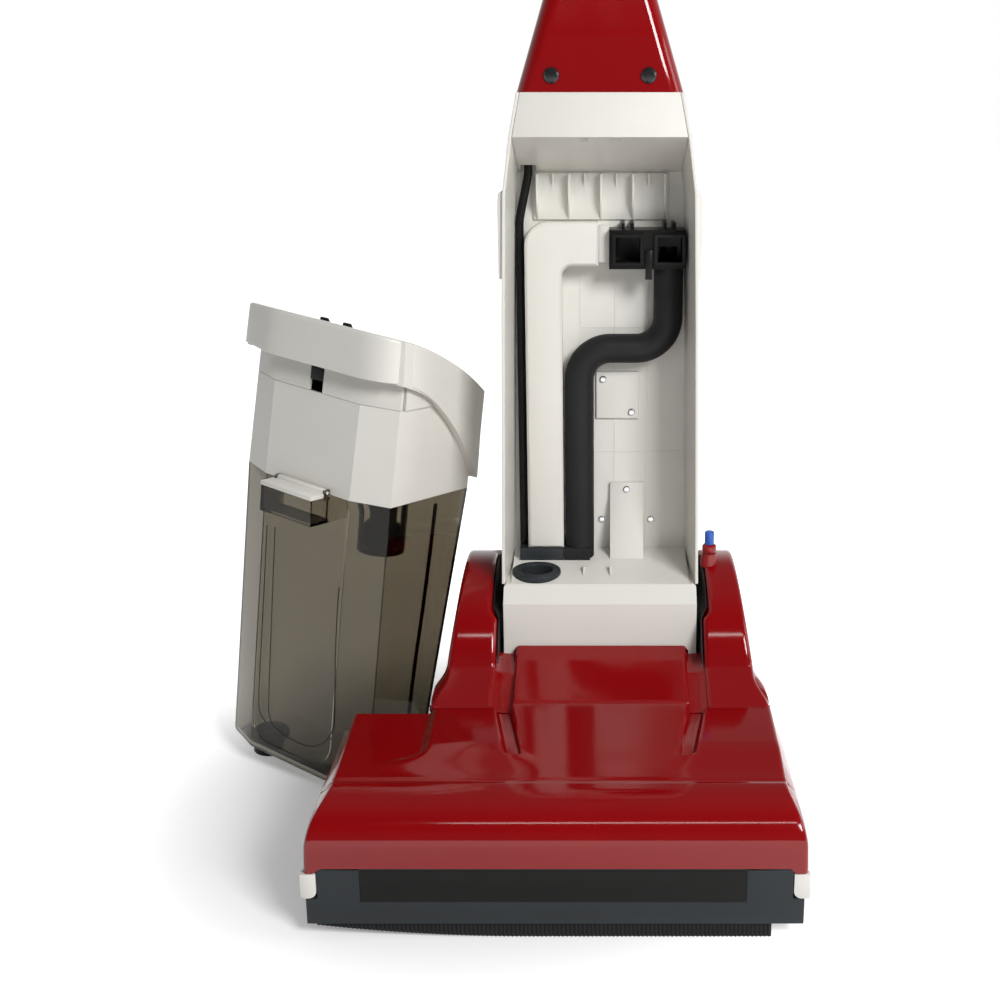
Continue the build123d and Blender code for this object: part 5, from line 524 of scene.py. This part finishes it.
def cover_profile():
    """Side outline: upright front, elliptic roll and rising deck, with finer steps at the crease."""
    points = [(0.0, z) for z in spaced(COVER_LOW, ROLL_SPRING, FRONT_STEPS)[:-1]]
    turn = math.pi / 2 - math.atan(DECK_GRADE * ROLL_DEEP / ROLL_HIGH)
    for a in spaced(0.0, turn, ROLL_STEPS):
        points.append((ROLL_DEEP * (1 - math.cos(a)), ROLL_SPRING + ROLL_HIGH * math.sin(a)))
    start_y, start_z = points[-1]
    y = start_y
    while y < COVER_BACK:
        near_crease = abs(y - CREASE_Y) < CREASE_HALF + CREASE_PITCH
        y = min(COVER_BACK, y + (CREASE_PITCH if near_crease else DECK_PITCH))
        points.append((y, start_z + (y - start_y) * DECK_GRADE))
    return points


def cover_columns(left, right, y):
    """Columns that follow the bulge's edges, so that these stay clean."""
    inner = []
    for i in range(PLAN_COUNT):
        x = PLAN_LEFT + PLAN_PITCH * i
        pull = rise(*PULL_IN, abs(x)) * (1 - rise(*PULL_OUT, abs(x)))
        inner.append(x - math.copysign(taper(y) * pull, x))
    before = spaced(left + COVER_RIM, inner[0], LEFT_STEPS)[1:-1]
    after = spaced(inner[-1], right - COVER_RIM, RIGHT_STEPS)[1:-1]
    return before + inner + after


def front_cover():
    """Front cover with its back edge turned down and its two ends."""
    verts = []
    rows = skin_rows(
        verts, cover_profile(),
        lambda y, z: reading(LEFT_END, z), lambda y, z: reading(RIGHT_END, z),
        cover_columns, COVER_RIM, cover_form,
    )
    faces = grid_faces(rows)
    back = []
    for index in rows[-1]:
        x, y, z = verts[index]
        low = BACK_LOW if BACK_GAP[0] <= x <= BACK_GAP[1] else COVER_LOW
        back.append([index] + put(verts, [(x, y, height) for height in spaced(z, low, BACK_STEPS)[1:]]))
    faces += grid_faces(back)
    for side, table in ((0, LEFT_END), (-1, RIGHT_END)):
        walls = end_wall(
            verts, rows, side,
            lambda y, height: reading(table, height), lambda y: SKIRT_LOW if y < SKIRT_DEEP else COVER_LOW,
        )
        faces += grid_faces(walls, flip=side == 0)
    red_skin("front_cover_skin", verts, faces, ["front_cover"])


front_cover()


# Bonnet in front of the upright: foot, even slope and brink of its side outline
BONNET_FRONT, BONNET_BACK = 165.6, 238.0
BONNET_LEFT, BONNET_RIGHT = -80.5, 82.6
BONNET_RIM, BONNET_MARGIN, BONNET_COLUMNS = 2.6, 5.0, 30
BONNET_FOOT = [(0.0, 129.5), (0.0, 133.0), (0.0, 136.8), (0.5, 138.1)]
SLOPE_SETBACK, SLOPE_LOW = 1.5, 138.9
SLOPE_PITCH, SLOPE_CLIMB, SLOPE_COUNT = 3.4, 1.33, 21
BONNET_BRINK = [(236.6, 166.0), (237.6, 165.2), (BONNET_BACK, 163.8), (BONNET_BACK, 152.0)]
SILL, SILL_GRADE, SILL_STEPS = 126.0, 0.4, 4


def bonnet():
    """Bonnet with soft edges all round."""
    verts = []
    profile = [(BONNET_FRONT + d, z) for d, z in BONNET_FOOT]
    for i in range(SLOPE_COUNT):
        profile.append((BONNET_FRONT + SLOPE_SETBACK + SLOPE_PITCH * i, SLOPE_LOW + SLOPE_CLIMB * i))
    profile += BONNET_BRINK
    inner = spaced(BONNET_LEFT + BONNET_MARGIN, BONNET_RIGHT - BONNET_MARGIN, BONNET_COLUMNS)
    rows = skin_rows(
        verts, profile,
        lambda y, z: BONNET_LEFT, lambda y, z: BONNET_RIGHT,
        lambda left, right, y: inner, BONNET_RIM,
    )
    faces = grid_faces(rows)
    for side, edge in ((0, BONNET_LEFT), (-1, BONNET_RIGHT)):
        walls = end_wall(
            verts, rows, side,
            lambda y, height: edge, lambda y: SILL + (y - BONNET_FRONT) * SILL_GRADE, SILL_STEPS,
        )
        faces += grid_faces(walls, flip=side == 0)
    red_skin("bonnet_skin", verts, faces, ["bonnet"])


bonnet()


# Pivot covers: arched fenders over the wheels, with an apron that runs on into the deck
SEAM_Y, SEAM_LOW, SEAM_PITCH, SEAM_COUNT = 165.6, 128.0, 1.6, 4
SEAM_TOP, SEAM_SETBACK = 134.4, 0.4
LEDGE_Y, LEDGE_Z, LEDGE_SHORT, LEDGE_DROP, LEDGE_STEPS = 207.0, 156.4, 1.6, 1.0, 12
ARCH_Y, ARCH_Z = 318.0, 230.0
LOBE_BACK, LOBE_SILL, LOBE_LOW, BACK_WALL_STEPS = 415.0, 140.0, 62.0, 4
ARCH_START = (LEDGE_Y + 0.6, LEDGE_Z + 0.4)
ARCH_FRONT_PULLS, ARCH_FRONT_STEPS = [(221.0, 196.0), (258.0, ARCH_Z)], 30
ARCH_BACK_PULLS, ARCH_BACK_STEPS = [(376.0, ARCH_Z), (LOBE_BACK, 192.0)], 24
LOBE_INNER, LOBE_NOTCH = 98.0, 5.5
NOTCH_LOW, NOTCH_BACK = (196.0, 202.0), (343.0, 347.0)
LOBE_OUTER, LOBE_TOP_OUTER, LOBE_LEAN = 152.0, 134.0, 0.145
APRON, APRON_LOW, APRON_HIGH, APRON_FADE = 9.0, 118.0, 152.0, 26.0
LOBE_RIM, LOBE_MARGIN, LOBE_COLUMNS, LOBE_WALL_STEPS = 5.0, 6.0, 14, 24
# Floor of the gap between a fender and the bonnet: its heights along the depth, and its section
GAP_BACK, GAP_STEPS = 240.0, 25
GAP_FLOOR = [(SEAM_Y, 128.4), (LEDGE_Y, LEDGE_Z - 6), (GAP_BACK, LEDGE_Z)]
GAP_SECTION = [(80.0, 0.0), (88.0, 0.0), (94.0, 0.6), (97.0, 2.4), (99.5, 3.5)]
# Boss under the adjuster on the right fender: radius and height of its rings
BOSS_X, BOSS_Y, BOSS_SIDES = 108.0, 300.0, 32
BOSS_RINGS = [(8.6, 226.0), (8.0, 234.0), (7.4, 239.0), (2.0, 239.0)]


def lobe_profile():
    """Side outline: seam, ledge, arch over the wheel and back wall."""
    points = [(SEAM_Y, SEAM_LOW + SEAM_PITCH * i) for i in range(SEAM_COUNT)]
    points += zip(
        spaced(SEAM_Y + SEAM_SETBACK, LEDGE_Y - LEDGE_SHORT, LEDGE_STEPS),
        spaced(SEAM_TOP, LEDGE_Z - LEDGE_DROP, LEDGE_STEPS),
    )
    points.append(ARCH_START)
    points += bezier(ARCH_START, *ARCH_FRONT_PULLS, (ARCH_Y, ARCH_Z), ARCH_FRONT_STEPS)
    points += bezier((ARCH_Y, ARCH_Z), *ARCH_BACK_PULLS, (LOBE_BACK, LOBE_SILL), ARCH_BACK_STEPS)
    return points + [(LOBE_BACK, z) for z in spaced(LOBE_SILL, LOBE_LOW, BACK_WALL_STEPS)[1:]]


def lobe_inner(y, z):
    """Inner face, set back beside the upper part of the block."""
    return LOBE_INNER + LOBE_NOTCH * rise(*NOTCH_LOW, z) * (1 - rise(*NOTCH_BACK, y))


def lobe_outside(y, z):
    """Outer face: leaning in towards the top, with a wider apron where it meets the front cover."""
    plain = min(LOBE_OUTER, LOBE_TOP_OUTER + LOBE_LEAN * (ARCH_Z - z))
    apron = rise(APRON_LOW, SEAM_TOP, z) - rise(SEAM_TOP, APRON_HIGH, z)
    return plain + APRON * apron * (1 - rise(LEDGE_Y, LEDGE_Y + APRON_FADE, y))


def lobe_columns(left, right, y):
    """Columns between the rounded edges of a fender."""
    return spaced(left + LOBE_MARGIN, right - LOBE_MARGIN, LOBE_COLUMNS)


def lobe(name, way, node):
    """One fender; way is 1 on the right and -1 on the left."""
    verts = []
    rows = skin_rows(verts, lobe_profile(), lobe_inner, lobe_outside, lobe_columns, LOBE_RIM)
    faces = grid_faces(rows)
    outer = end_wall(verts, rows, -1, lobe_outside, lambda y: LOBE_LOW, LOBE_WALL_STEPS)
    inner = end_wall(verts, rows, 0, lobe_inner, lambda y: SILL if y < BONNET_BACK else LOBE_SILL)
    faces += grid_faces(outer) + grid_faces(inner, flip=True)
    gap = []
    for y in spaced(SEAM_Y, GAP_BACK, GAP_STEPS):
        z = reading(GAP_FLOOR, y)
        gap.append(put(verts, [(x, y, z + lift) for x, lift in GAP_SECTION]))
    faces += grid_faces(gap)
    if way > 0:
        boss = []
        for radius, z in BOSS_RINGS:
            turns = spaced(0.0, 2 * math.pi, BOSS_SIDES)
            ring = [(BOSS_X + radius * math.cos(a), BOSS_Y + radius * math.sin(a), z) for a in turns]
            boss.append(put(verts, ring))
        faces += grid_faces(boss)
    else:
        verts = [(-x, y, z) for x, y, z in verts]
        faces = [tuple(reversed(face)) for face in faces]
    red_skin(name, verts, faces, [node])


lobe("left_fender_skin", -1, "left_pivot_cover")
lobe("right_fender_skin", 1, "right_pivot_cover")


# Dark sheets of painted shade on the fenders' inner flanks, next to the block, standing in for the shadow
# in the deep gaps there
SHADE_SHEET_FRONT, SHADE_SHEET_BACK = LEDGE_Y + 3.0, LOBE_BACK - 4.0
SHADE_SHEET_LOW = [(LEDGE_Y, LEDGE_Z + 2), (GAP_BACK, LEDGE_Z + 4), (GAP_BACK + 10, LOBE_SILL)]
SHADE_SHEET_DROP, SHADE_SHEET_LEAST, SHADE_SHEET_STANDOFF, SHADE_SHEET_WALL = 5.0, 2.0, 1.4, 0.8
SHADE_SHEET_ROWS, SHADE_SHEET_COLUMNS = 40, 24


def painted_shade_sheet(name, way):
    """Dark sheet of painted shade on one fender's inner flank; way is 1 on the right and -1 on the left."""
    tops = [(y, z) for y, z in lobe_profile() if LEDGE_Y < y < LOBE_BACK - 1 and z > LOBE_SILL]
    verts, rows = [], []
    for y in spaced(SHADE_SHEET_FRONT, SHADE_SHEET_BACK, SHADE_SHEET_ROWS):
        low = reading(SHADE_SHEET_LOW, y)
        high = max(low + SHADE_SHEET_LEAST, reading(tops, y) - SHADE_SHEET_DROP)
        heights = spaced(low, high, SHADE_SHEET_COLUMNS)
        rows.append(put(verts, [(way * (lobe_inner(y, z) - SHADE_SHEET_STANDOFF), y, z) for z in heights]))
    piece = build(name, verts, grid_faces(rows, flip=way < 0), "base", "black_rubber")
    thicken(piece, SHADE_SHEET_WALL, 0.0)


# Painted shade in the gaps between each fender and the block
painted_shade_sheet("left_fender_painted_shade", -1)
painted_shade_sheet("right_fender_painted_shade", 1)


# Tank's own frame: u across its front, w to its back and v up, from where it leans on the floor
TANK_YAW, TANK_LEAN, TANK_TIP = math.radians(32.7), math.radians(6.0), math.radians(3.5)
level_front = Vector((math.cos(TANK_YAW), -math.sin(TANK_YAW), 0))
tipped_up = Vector((
    math.sin(TANK_YAW) * math.sin(TANK_TIP), math.cos(TANK_YAW) * math.sin(TANK_TIP), math.cos(TANK_TIP)
))
ACROSS = level_front * math.cos(TANK_LEAN) - tipped_up * math.sin(TANK_LEAN)
UP = tipped_up * math.cos(TANK_LEAN) + level_front * math.sin(TANK_LEAN)
BACKWARD = UP.cross(ACROSS)
SOLE_U, SOLE_W = 89.5, 92.0
TANK_X, TANK_Y = -319.0, 284.0
TANK_AT = Vector((TANK_X, TANK_Y, -SOLE_U * ACROSS.z - SOLE_W * BACKWARD.z))


def on_tank(u, w, v):
    """A point of the tank's own frame as a head-frame point."""
    return tuple(TANK_AT + ACROSS * u + BACKWARD * w + UP * v)


# Hood of the tank: one rounded slab over the solid, with a wide round at its right front corner
HOOD_LEFT, HOOD_RIGHT, HOOD_FRONT, HOOD_BACK = -107.0, 101.0, -7.2, 137.0
HOOD_TOP, HOOD_CROWN, HOOD_SHOULDER = 463.6, 442.2, 400.6
HOOD_LOW, CHEEK_START, CHEEK_LIFT, CHEEK_MIDDLE, CHEEK_LOW = 420.0, 2.0, 2.0, 393.0, 310.6
HOOD_ROUND, HOOD_DRAFT, HOOD_WALL, ROUND_STEPS = 4.0, 2.4, 0.8, 5
# Plan: straight sides, left front corner, slanting facet, its bend, front and a superelliptic right corner
SIDE_FRONT, SIDE_STEPS = 41.0, 16
LEFT_CORNER = [(0.0, 32.0), (0.0, 25.0), (0.0, 20.0), (0.5, 16.2), (1.8, 13.6), (4.2, 11.8)]
FACET_U, FACET_W, FACET_PITCH, FACET_CLIMB, FACET_COUNT = -95.0, 8.2, 10.0, 3.85, 4
FACET_BEND = [(-57.0, -5.6), (-50.0, -6.8)]
FRONT_U, FRONT_PITCH, FRONT_COUNT = -40.0, 10.0, 9
SPREAD_U, SPREAD_W, SQUARE, CORNER_STEPS = 50.0, 46.0, 2.8, 25
# Rings: how far they lie inside the plan, and over the lower edge; the last one meets the middle line
TUCK, TUCK_LIFT, LIP, LIP_LIFT, TOP_RING = 9.0, 0.3, 0.6, 0.6, 22.0
MIDDLE_BACK = 100.0


def arc_height(w, ends, middle):
    """Height at w of the parabola through two end heights and a middle one."""
    t = (w - HOOD_FRONT) / (HOOD_BACK - HOOD_FRONT)
    a, b = ends
    return a * (1 - t) * (1 - 2 * t) + b * t * (2 * t - 1) + 4 * middle * t * (1 - t)


def hood_top(w):
    """Top face, curving down to the back."""
    return arc_height(w, (HOOD_TOP, HOOD_SHOULDER), HOOD_CROWN)


def hood_low(w):
    """Lower edge: level along the front, then swept down the cheeks to the back."""
    if w < CHEEK_START:
        return HOOD_LOW
    return min(HOOD_LOW, arc_height(w, (HOOD_LOW + CHEEK_LIFT, CHEEK_LOW), CHEEK_MIDDLE))


def hood_outline():
    """Plan of the hood from its back left corner round the front to its back right corner."""
    sides = spaced(HOOD_BACK, SIDE_FRONT, SIDE_STEPS)
    plan = [(HOOD_LEFT, w) for w in sides]
    plan += [(HOOD_LEFT + d, w) for d, w in LEFT_CORNER]
    plan += [(FACET_U + FACET_PITCH * i, FACET_W - FACET_CLIMB * i) for i in range(FACET_COUNT)]
    plan += FACET_BEND
    plan += [(FRONT_U + FRONT_PITCH * i, HOOD_FRONT) for i in range(FRONT_COUNT)]
    for a in spaced(0.0, math.pi / 2, CORNER_STEPS)[1:-1]:
        plan.append((
            HOOD_RIGHT - SPREAD_U + SPREAD_U * math.sin(a) ** (2 / SQUARE),
            HOOD_FRONT + SPREAD_W - SPREAD_W * math.cos(a) ** (2 / SQUARE),
        ))
    return plan + [(HOOD_RIGHT, w) for w in reversed(sides)]


def hood_ring(inset, height):
    """The plan drawn in by an inset, or to the middle line if that is None; height takes both depths."""
    points = []
    for u, w in hood_outline():
        middle = min(MIDDLE_BACK, max(SIDE_FRONT, w))
        share = 1.0 if inset is None else inset / math.hypot(u, middle - w)
        drawn = w + (middle - w) * share
        points.append(on_tank(u - u * share, drawn, height(w, drawn)))
    return points


def hood_rings():
    """Rings from the hidden edge under the rim, up the wall and over the rounded top."""
    rings = [
        hood_ring(TUCK, lambda w, drawn: hood_low(w) + TUCK_LIFT),
        hood_ring(LIP, lambda w, drawn: hood_low(w)),
        hood_ring(0.0, lambda w, drawn: hood_low(w) + LIP_LIFT),
        hood_ring(HOOD_DRAFT, lambda w, drawn: hood_top(drawn) - HOOD_ROUND),
    ]
    for a in spaced(0.0, math.pi / 2, ROUND_STEPS)[1:]:
        inset = HOOD_DRAFT + HOOD_ROUND * (1 - math.cos(a))
        drop = HOOD_ROUND * (1 - math.sin(a))
        rings.append(hood_ring(inset, lambda w, drawn: hood_top(drawn) - drop))
    for inset in (TOP_RING, None):
        rings.append(hood_ring(inset, lambda w, drawn: hood_top(drawn)))
    return rings


def hood_slab():
    """Hood's slab, closed along its middle line by the weld."""
    verts = []
    rows = [put(verts, ring) for ring in hood_rings()]
    piece = build("hood_skin", verts, ring_faces(rows), "tank", "cream_shell")
    weld(piece)
    thicken(piece, HOOD_WALL, -1.0)
    smooth(piece)


hood_slab()


# Fine moulded lines of the smoky tank: the edges of its front panel and a rib inside its right wall, drawn
# in black as painted shade
CREASE_U, FACET_SLOPE = 55.0, 15.0 / 38.5
PANEL_LINES = [
    [
        (-38.1, 247.5), (-35.5, 149.4), (-32.8, 62.0), (-30.4, 46.0), (-23.2, 36.1),
        (-1.6, 30.6), (13.8, 30.1), (30.2, 32.9), (41.9, 40.0), (50.5, 49.8),
        (55.8, 61.6), (56.3, 77.0), (51.0, 161.0), (50.4, 210.8),
    ],
    [(-49.1, 246.6), (-47.9, 156.3), (-47.0, 66.0), (-43.9, 44.5), (-34.7, 36.5)],
]
RIB_LINE = [(86.3, 290.0), (82.3, 200.0), (75.1, 100.0), (73.9, 20.0)]
PANEL_HALF, PANEL_PROUD, PANEL_THICK = 0.45, 0.15, 0.6
RIB_HALF, RIB_FACE, RIB_THICK = 2.2, 90.6, 1.6
STRIP_CORNERS = [(-1, 0), (1, 0), (1, 1), (-1, 1)]
CURVE_STEPS = 6


def curved(points):
    """Smooth run through the given points."""
    made = []
    for i in range(len(points) - 1):
        a, b, c, d = (points[max(0, min(len(points) - 1, i + k))] for k in (-1, 0, 1, 2))
        for step in range(CURVE_STEPS):
            t = step / CURVE_STEPS
            made.append(tuple(
                b[k] + t * (c[k] - a[k]) / 2 + t * t * (a[k] - 2.5 * b[k] + 2 * c[k] - d[k] / 2)
                + t ** 3 * (1.5 * (b[k] - c[k]) + (d[k] - a[k]) / 2) for k in range(2)
            ))
    return made + [points[-1]]


def on_panel(u, v, depth):
    """A point on the tank's front, which runs back beyond its creases."""
    return on_tank(u, max(0.0, abs(u) - CREASE_U) * FACET_SLOPE - PANEL_PROUD + PANEL_THICK * depth, v)


def on_right_wall(w, v, depth):
    """A point on the inside of the tank's right wall."""
    return on_tank(RIB_FACE - RIB_THICK * depth, w, v)


def strips(name, lines, half, place):
    """Square-cut strips along lines; place turns (along, up, depth) into a head-frame point."""
    verts, faces = [], []
    for points in lines:
        rows = []
        for s, v, ns, nv in with_normals(curved(points)):
            corners = [(s + ns * half * side, v + nv * half * side, depth) for side, depth in STRIP_CORNERS]
            rows.append(put(verts, [place(*corner) for corner in corners]))
        faces += bar_faces(rows)
    build(name, verts, faces, "tank", "black_plastic")


# The black of these strips is painted shade of the grooves and of the inner edge
strips("tank_panel_shade_lines", PANEL_LINES, PANEL_HALF, on_panel)
strips("tank_inner_rib_shade", [RIB_LINE], RIB_HALF, on_right_wall)


# Tufts of the roller brush, in rows that wind round the core
BRUSH_Y, BRUSH_Z = 75.0, 46.0
BRUSH_LEFT, BRUSH_RIGHT, BRUSH_MARGIN = -231.1, 123.9, 4.0
TUFT_ROWS, TUFTS, FILAMENTS, SIDES = 12, 40, 6, 3
ROOT, TIP, TIP_VARY = 17.4, 45.2, 0.8
WIND, SEED = math.radians(75), 11
# Spread of a tuft's filaments along the core and round it, in millimetres and radians
ROOT_SPREAD, ROOT_TURN = 1.1, 0.06
LEAN_SPREAD, LEAN_VARY = 1.2, 1.6
TURN_SPREAD, TURN_VARY = 0.03, 0.035
# Thickness of a filament at shares of its length
FILAMENT_SECTION = [(0.0, 0.55), (0.55, 0.5), (1.0, 0.36)]


def add_filament(verts, faces, chance, x, turn, strand):
    """One bent three-sided bristle of a tuft."""
    around = 2 * math.pi * strand / FILAMENTS
    root_x = x + ROOT_SPREAD * math.cos(around)
    root_turn = turn + ROOT_TURN * math.sin(around)
    lean_x = chance.uniform(-LEAN_VARY, LEAN_VARY) + LEAN_SPREAD * math.cos(around)
    lean_turn = chance.uniform(-TURN_VARY, TURN_VARY) + TURN_SPREAD * math.sin(around)
    tip = TIP - chance.uniform(0, TIP_VARY)
    rows = []
    for share, thick in FILAMENT_SECTION:
        radius = ROOT + (tip - ROOT) * share
        centre_x = root_x + lean_x * share * share
        angle = root_turn + lean_turn * share * share
        points = []
        for corner in range(SIDES):
            a = 2 * math.pi * corner / SIDES
            t = angle + thick * math.sin(a) / radius
            y, z = BRUSH_Y + radius * math.cos(t), BRUSH_Z + radius * math.sin(t)
            points.append((centre_x + thick * math.cos(a), y, z))
        rows.append(put(verts, points))
    faces.extend(bar_faces(rows))


def tufts():
    """All tufts as one mesh in place of the plain bristles."""
    chance = random.Random(SEED)
    verts, faces = [], []
    for row in range(TUFT_ROWS):
        for tuft in range(TUFTS):
            share = (tuft + 0.5) / TUFTS
            x = BRUSH_LEFT + BRUSH_MARGIN + (BRUSH_RIGHT - BRUSH_LEFT - 2 * BRUSH_MARGIN) * share
            turn = 2 * math.pi * row / TUFT_ROWS + WIND * share
            for strand in range(FILAMENTS):
                add_filament(verts, faces, chance, x, turn, strand)
    build("brush_tufts", verts, faces, "brush", "brush_plastic", ["bristles"])


tufts()


# Fine moulded lines on the back wall of the bay: three upright and two level ones
WALL_Y = 333.0
LINE_HALF, LINE_HIGH, LINE_SUNK = 0.55, 0.5, 0.3
LINE_XS, UPRIGHT_LOW, UPRIGHT_TOP = (-19.0, 14.4, 46.0), 244.0, 508.0
LINE_ZS, LEVEL_LEFT, LEVEL_RIGHT = (334.4, 458.4), -19.0, 86.0


def add_line(verts, faces, low, high):
    """A low ridge with sloping sides between two corners on the back wall."""
    (x0, z0), (x1, z1) = low, high
    rows = []
    for inset, y in ((0.0, WALL_Y + LINE_SUNK), (LINE_HIGH / 2, WALL_Y - LINE_HIGH)):
        left, right, bottom, top = x0 + inset, x1 - inset, z0 + inset, z1 - inset
        rows.append(put(verts, [(left, y, bottom), (right, y, bottom), (right, y, top), (left, y, top)]))
    faces.extend(bar_faces(rows))


def bay_lines():
    """All lines of the back wall as one mesh."""
    verts, faces = [], []
    for x in LINE_XS:
        add_line(verts, faces, (x - LINE_HALF, UPRIGHT_LOW), (x + LINE_HALF, UPRIGHT_TOP))
    for z in LINE_ZS:
        add_line(verts, faces, (LEVEL_LEFT, z - LINE_HALF), (LEVEL_RIGHT, z + LINE_HALF))
    build("bay_wall_lines", verts, faces, "upright", "cream_shell")


bay_lines()


# Floor, backdrop and light, in metres of the shared frame
FLOOR_COLOUR, FLOOR_ROUGH, FLOOR_SPEC = (0.88, 0.88, 0.88, 1.0), 0.7, 0.1
FLOOR_HALF, FLOOR_DROP = 15.0, 0.0005
GLOW_SPAN, GLOW_LEVELS = (0.22, 0.50), (0.25, 1.0)
WHITE = (1.0, 1.0, 1.0, 1.0)
AMBIENT = 0.22
HIGH_SPAN, HIGH_LEVELS = (0.2, 0.62), (1.0, 0.2)
FRONT_SPAN, FRONT_LEVELS = (-0.55, 0.25), (0.12, 1.0)


def joined(tree, kind, first, second):
    """Two values joined by an operation such as MAXIMUM."""
    made = tree.nodes.new("ShaderNodeMath")
    made.operation = kind
    tree.links.new(first, made.inputs[0])
    tree.links.new(second, made.inputs[1])
    return made.outputs["Value"]


def seen_directly(tree):
    """1 for rays of the camera, reflections and clear plastic, 0 for the light on the object."""
    rays = tree.nodes.new("ShaderNodeLightPath").outputs
    clear = joined(tree, "MAXIMUM", rays["Is Camera Ray"], rays["Is Transmission Ray"])
    return joined(tree, "MAXIMUM", clear, rays["Is Glossy Ray"])


def studio_floor():
    """Pale floor that glows to white away from the object and keeps its shadow."""
    material, tree, shader = new_material("studio_floor")
    shader.inputs["Base Color"].default_value = FLOOR_COLOUR
    shader.inputs["Roughness"].default_value = FLOOR_ROUGH
    shader.inputs["Specular IOR Level"].default_value = FLOOR_SPEC
    shader.inputs["Emission Color"].default_value = WHITE
    place = tree.nodes.new("ShaderNodeTexCoord")
    far = tree.nodes.new("ShaderNodeVectorMath")
    far.operation = "LENGTH"
    tree.links.new(place.outputs["Object"], far.inputs[0])
    glow = mapped(tree, far.outputs["Value"], GLOW_SPAN, GLOW_LEVELS, "SMOOTHSTEP")
    gate = joined(tree, "MULTIPLY", glow, seen_directly(tree))
    tree.links.new(gate, shader.inputs["Emission Strength"])
    mesh = bpy.data.meshes.new("floor")
    corners = [(x * FLOOR_HALF, y * FLOOR_HALF, 0) for x, y in ((-1, -1), (1, -1), (1, 1), (-1, 1))]
    mesh.from_pydata(corners, [], [(0, 1, 2, 3)])
    floor = bpy.data.objects.new("floor", mesh)
    floor.location.z = -FLOOR_DROP
    mesh.materials.append(material)
    scene.collection.objects.link(floor)


studio_floor()


def blended(tree, factor, second):
    """Mix node that goes over to the second value by a factor, with its first value still open."""
    made = tree.nodes.new("ShaderNodeMix")
    tree.links.new(factor, made.inputs["Factor"])
    tree.links.new(second, made.inputs["B"])
    return made


def studio_sky():
    """White backdrop, darker overhead and, in reflections, in front; a plain dim light on the object."""
    world = bpy.data.worlds.new("studio")
    scene.world = world
    world.use_nodes = True
    tree = world.node_tree
    background = tree.nodes["Background"]
    background.inputs["Color"].default_value = WHITE
    heading = tree.nodes.new("ShaderNodeTexCoord")
    axes = tree.nodes.new("ShaderNodeSeparateXYZ")
    tree.links.new(heading.outputs["Generated"], axes.inputs["Vector"])
    dome = mapped(tree, axes.outputs["Z"], HIGH_SPAN, HIGH_LEVELS, "SMOOTHSTEP")
    front = mapped(tree, axes.outputs["Y"], FRONT_SPAN, FRONT_LEVELS, "SMOOTHSTEP")
    glossy = tree.nodes.new("ShaderNodeLightPath").outputs["Is Glossy Ray"]
    shown = blended(tree, glossy, joined(tree, "MULTIPLY", dome, front))
    tree.links.new(dome, shown.inputs["A"])
    strength = blended(tree, seen_directly(tree), shown.outputs["Result"])
    strength.inputs["A"].default_value = AMBIENT
    tree.links.new(strength.outputs["Result"], background.inputs["Strength"])


studio_sky()


def softbox(name, place, target, size, power):
    """A rectangular lamp of a size in metres and a power in watts, turned to its target."""
    light = bpy.data.lights.new(name, "AREA")
    light.shape = "RECTANGLE"
    light.size, light.size_y = size
    light.energy = power
    lamp = bpy.data.objects.new(name, light)
    scene.collection.objects.link(lamp)
    lamp.location = place
    lamp.rotation_euler = (Vector(target) - Vector(place)).to_track_quat("-Z", "Y").to_euler()


softbox("key", (1.45, -2.15, 1.95), (0, 0, 0.4), (0.9, 0.9), 73)
softbox("strip", (0.25, -1.72, 2.1), (0.1, 0, 0.2), (1.1, 0.12), 4)
softbox("side", (2.6, -0.2, 1.3), (0, 0, 0.4), (0.9, 1.2), 12)
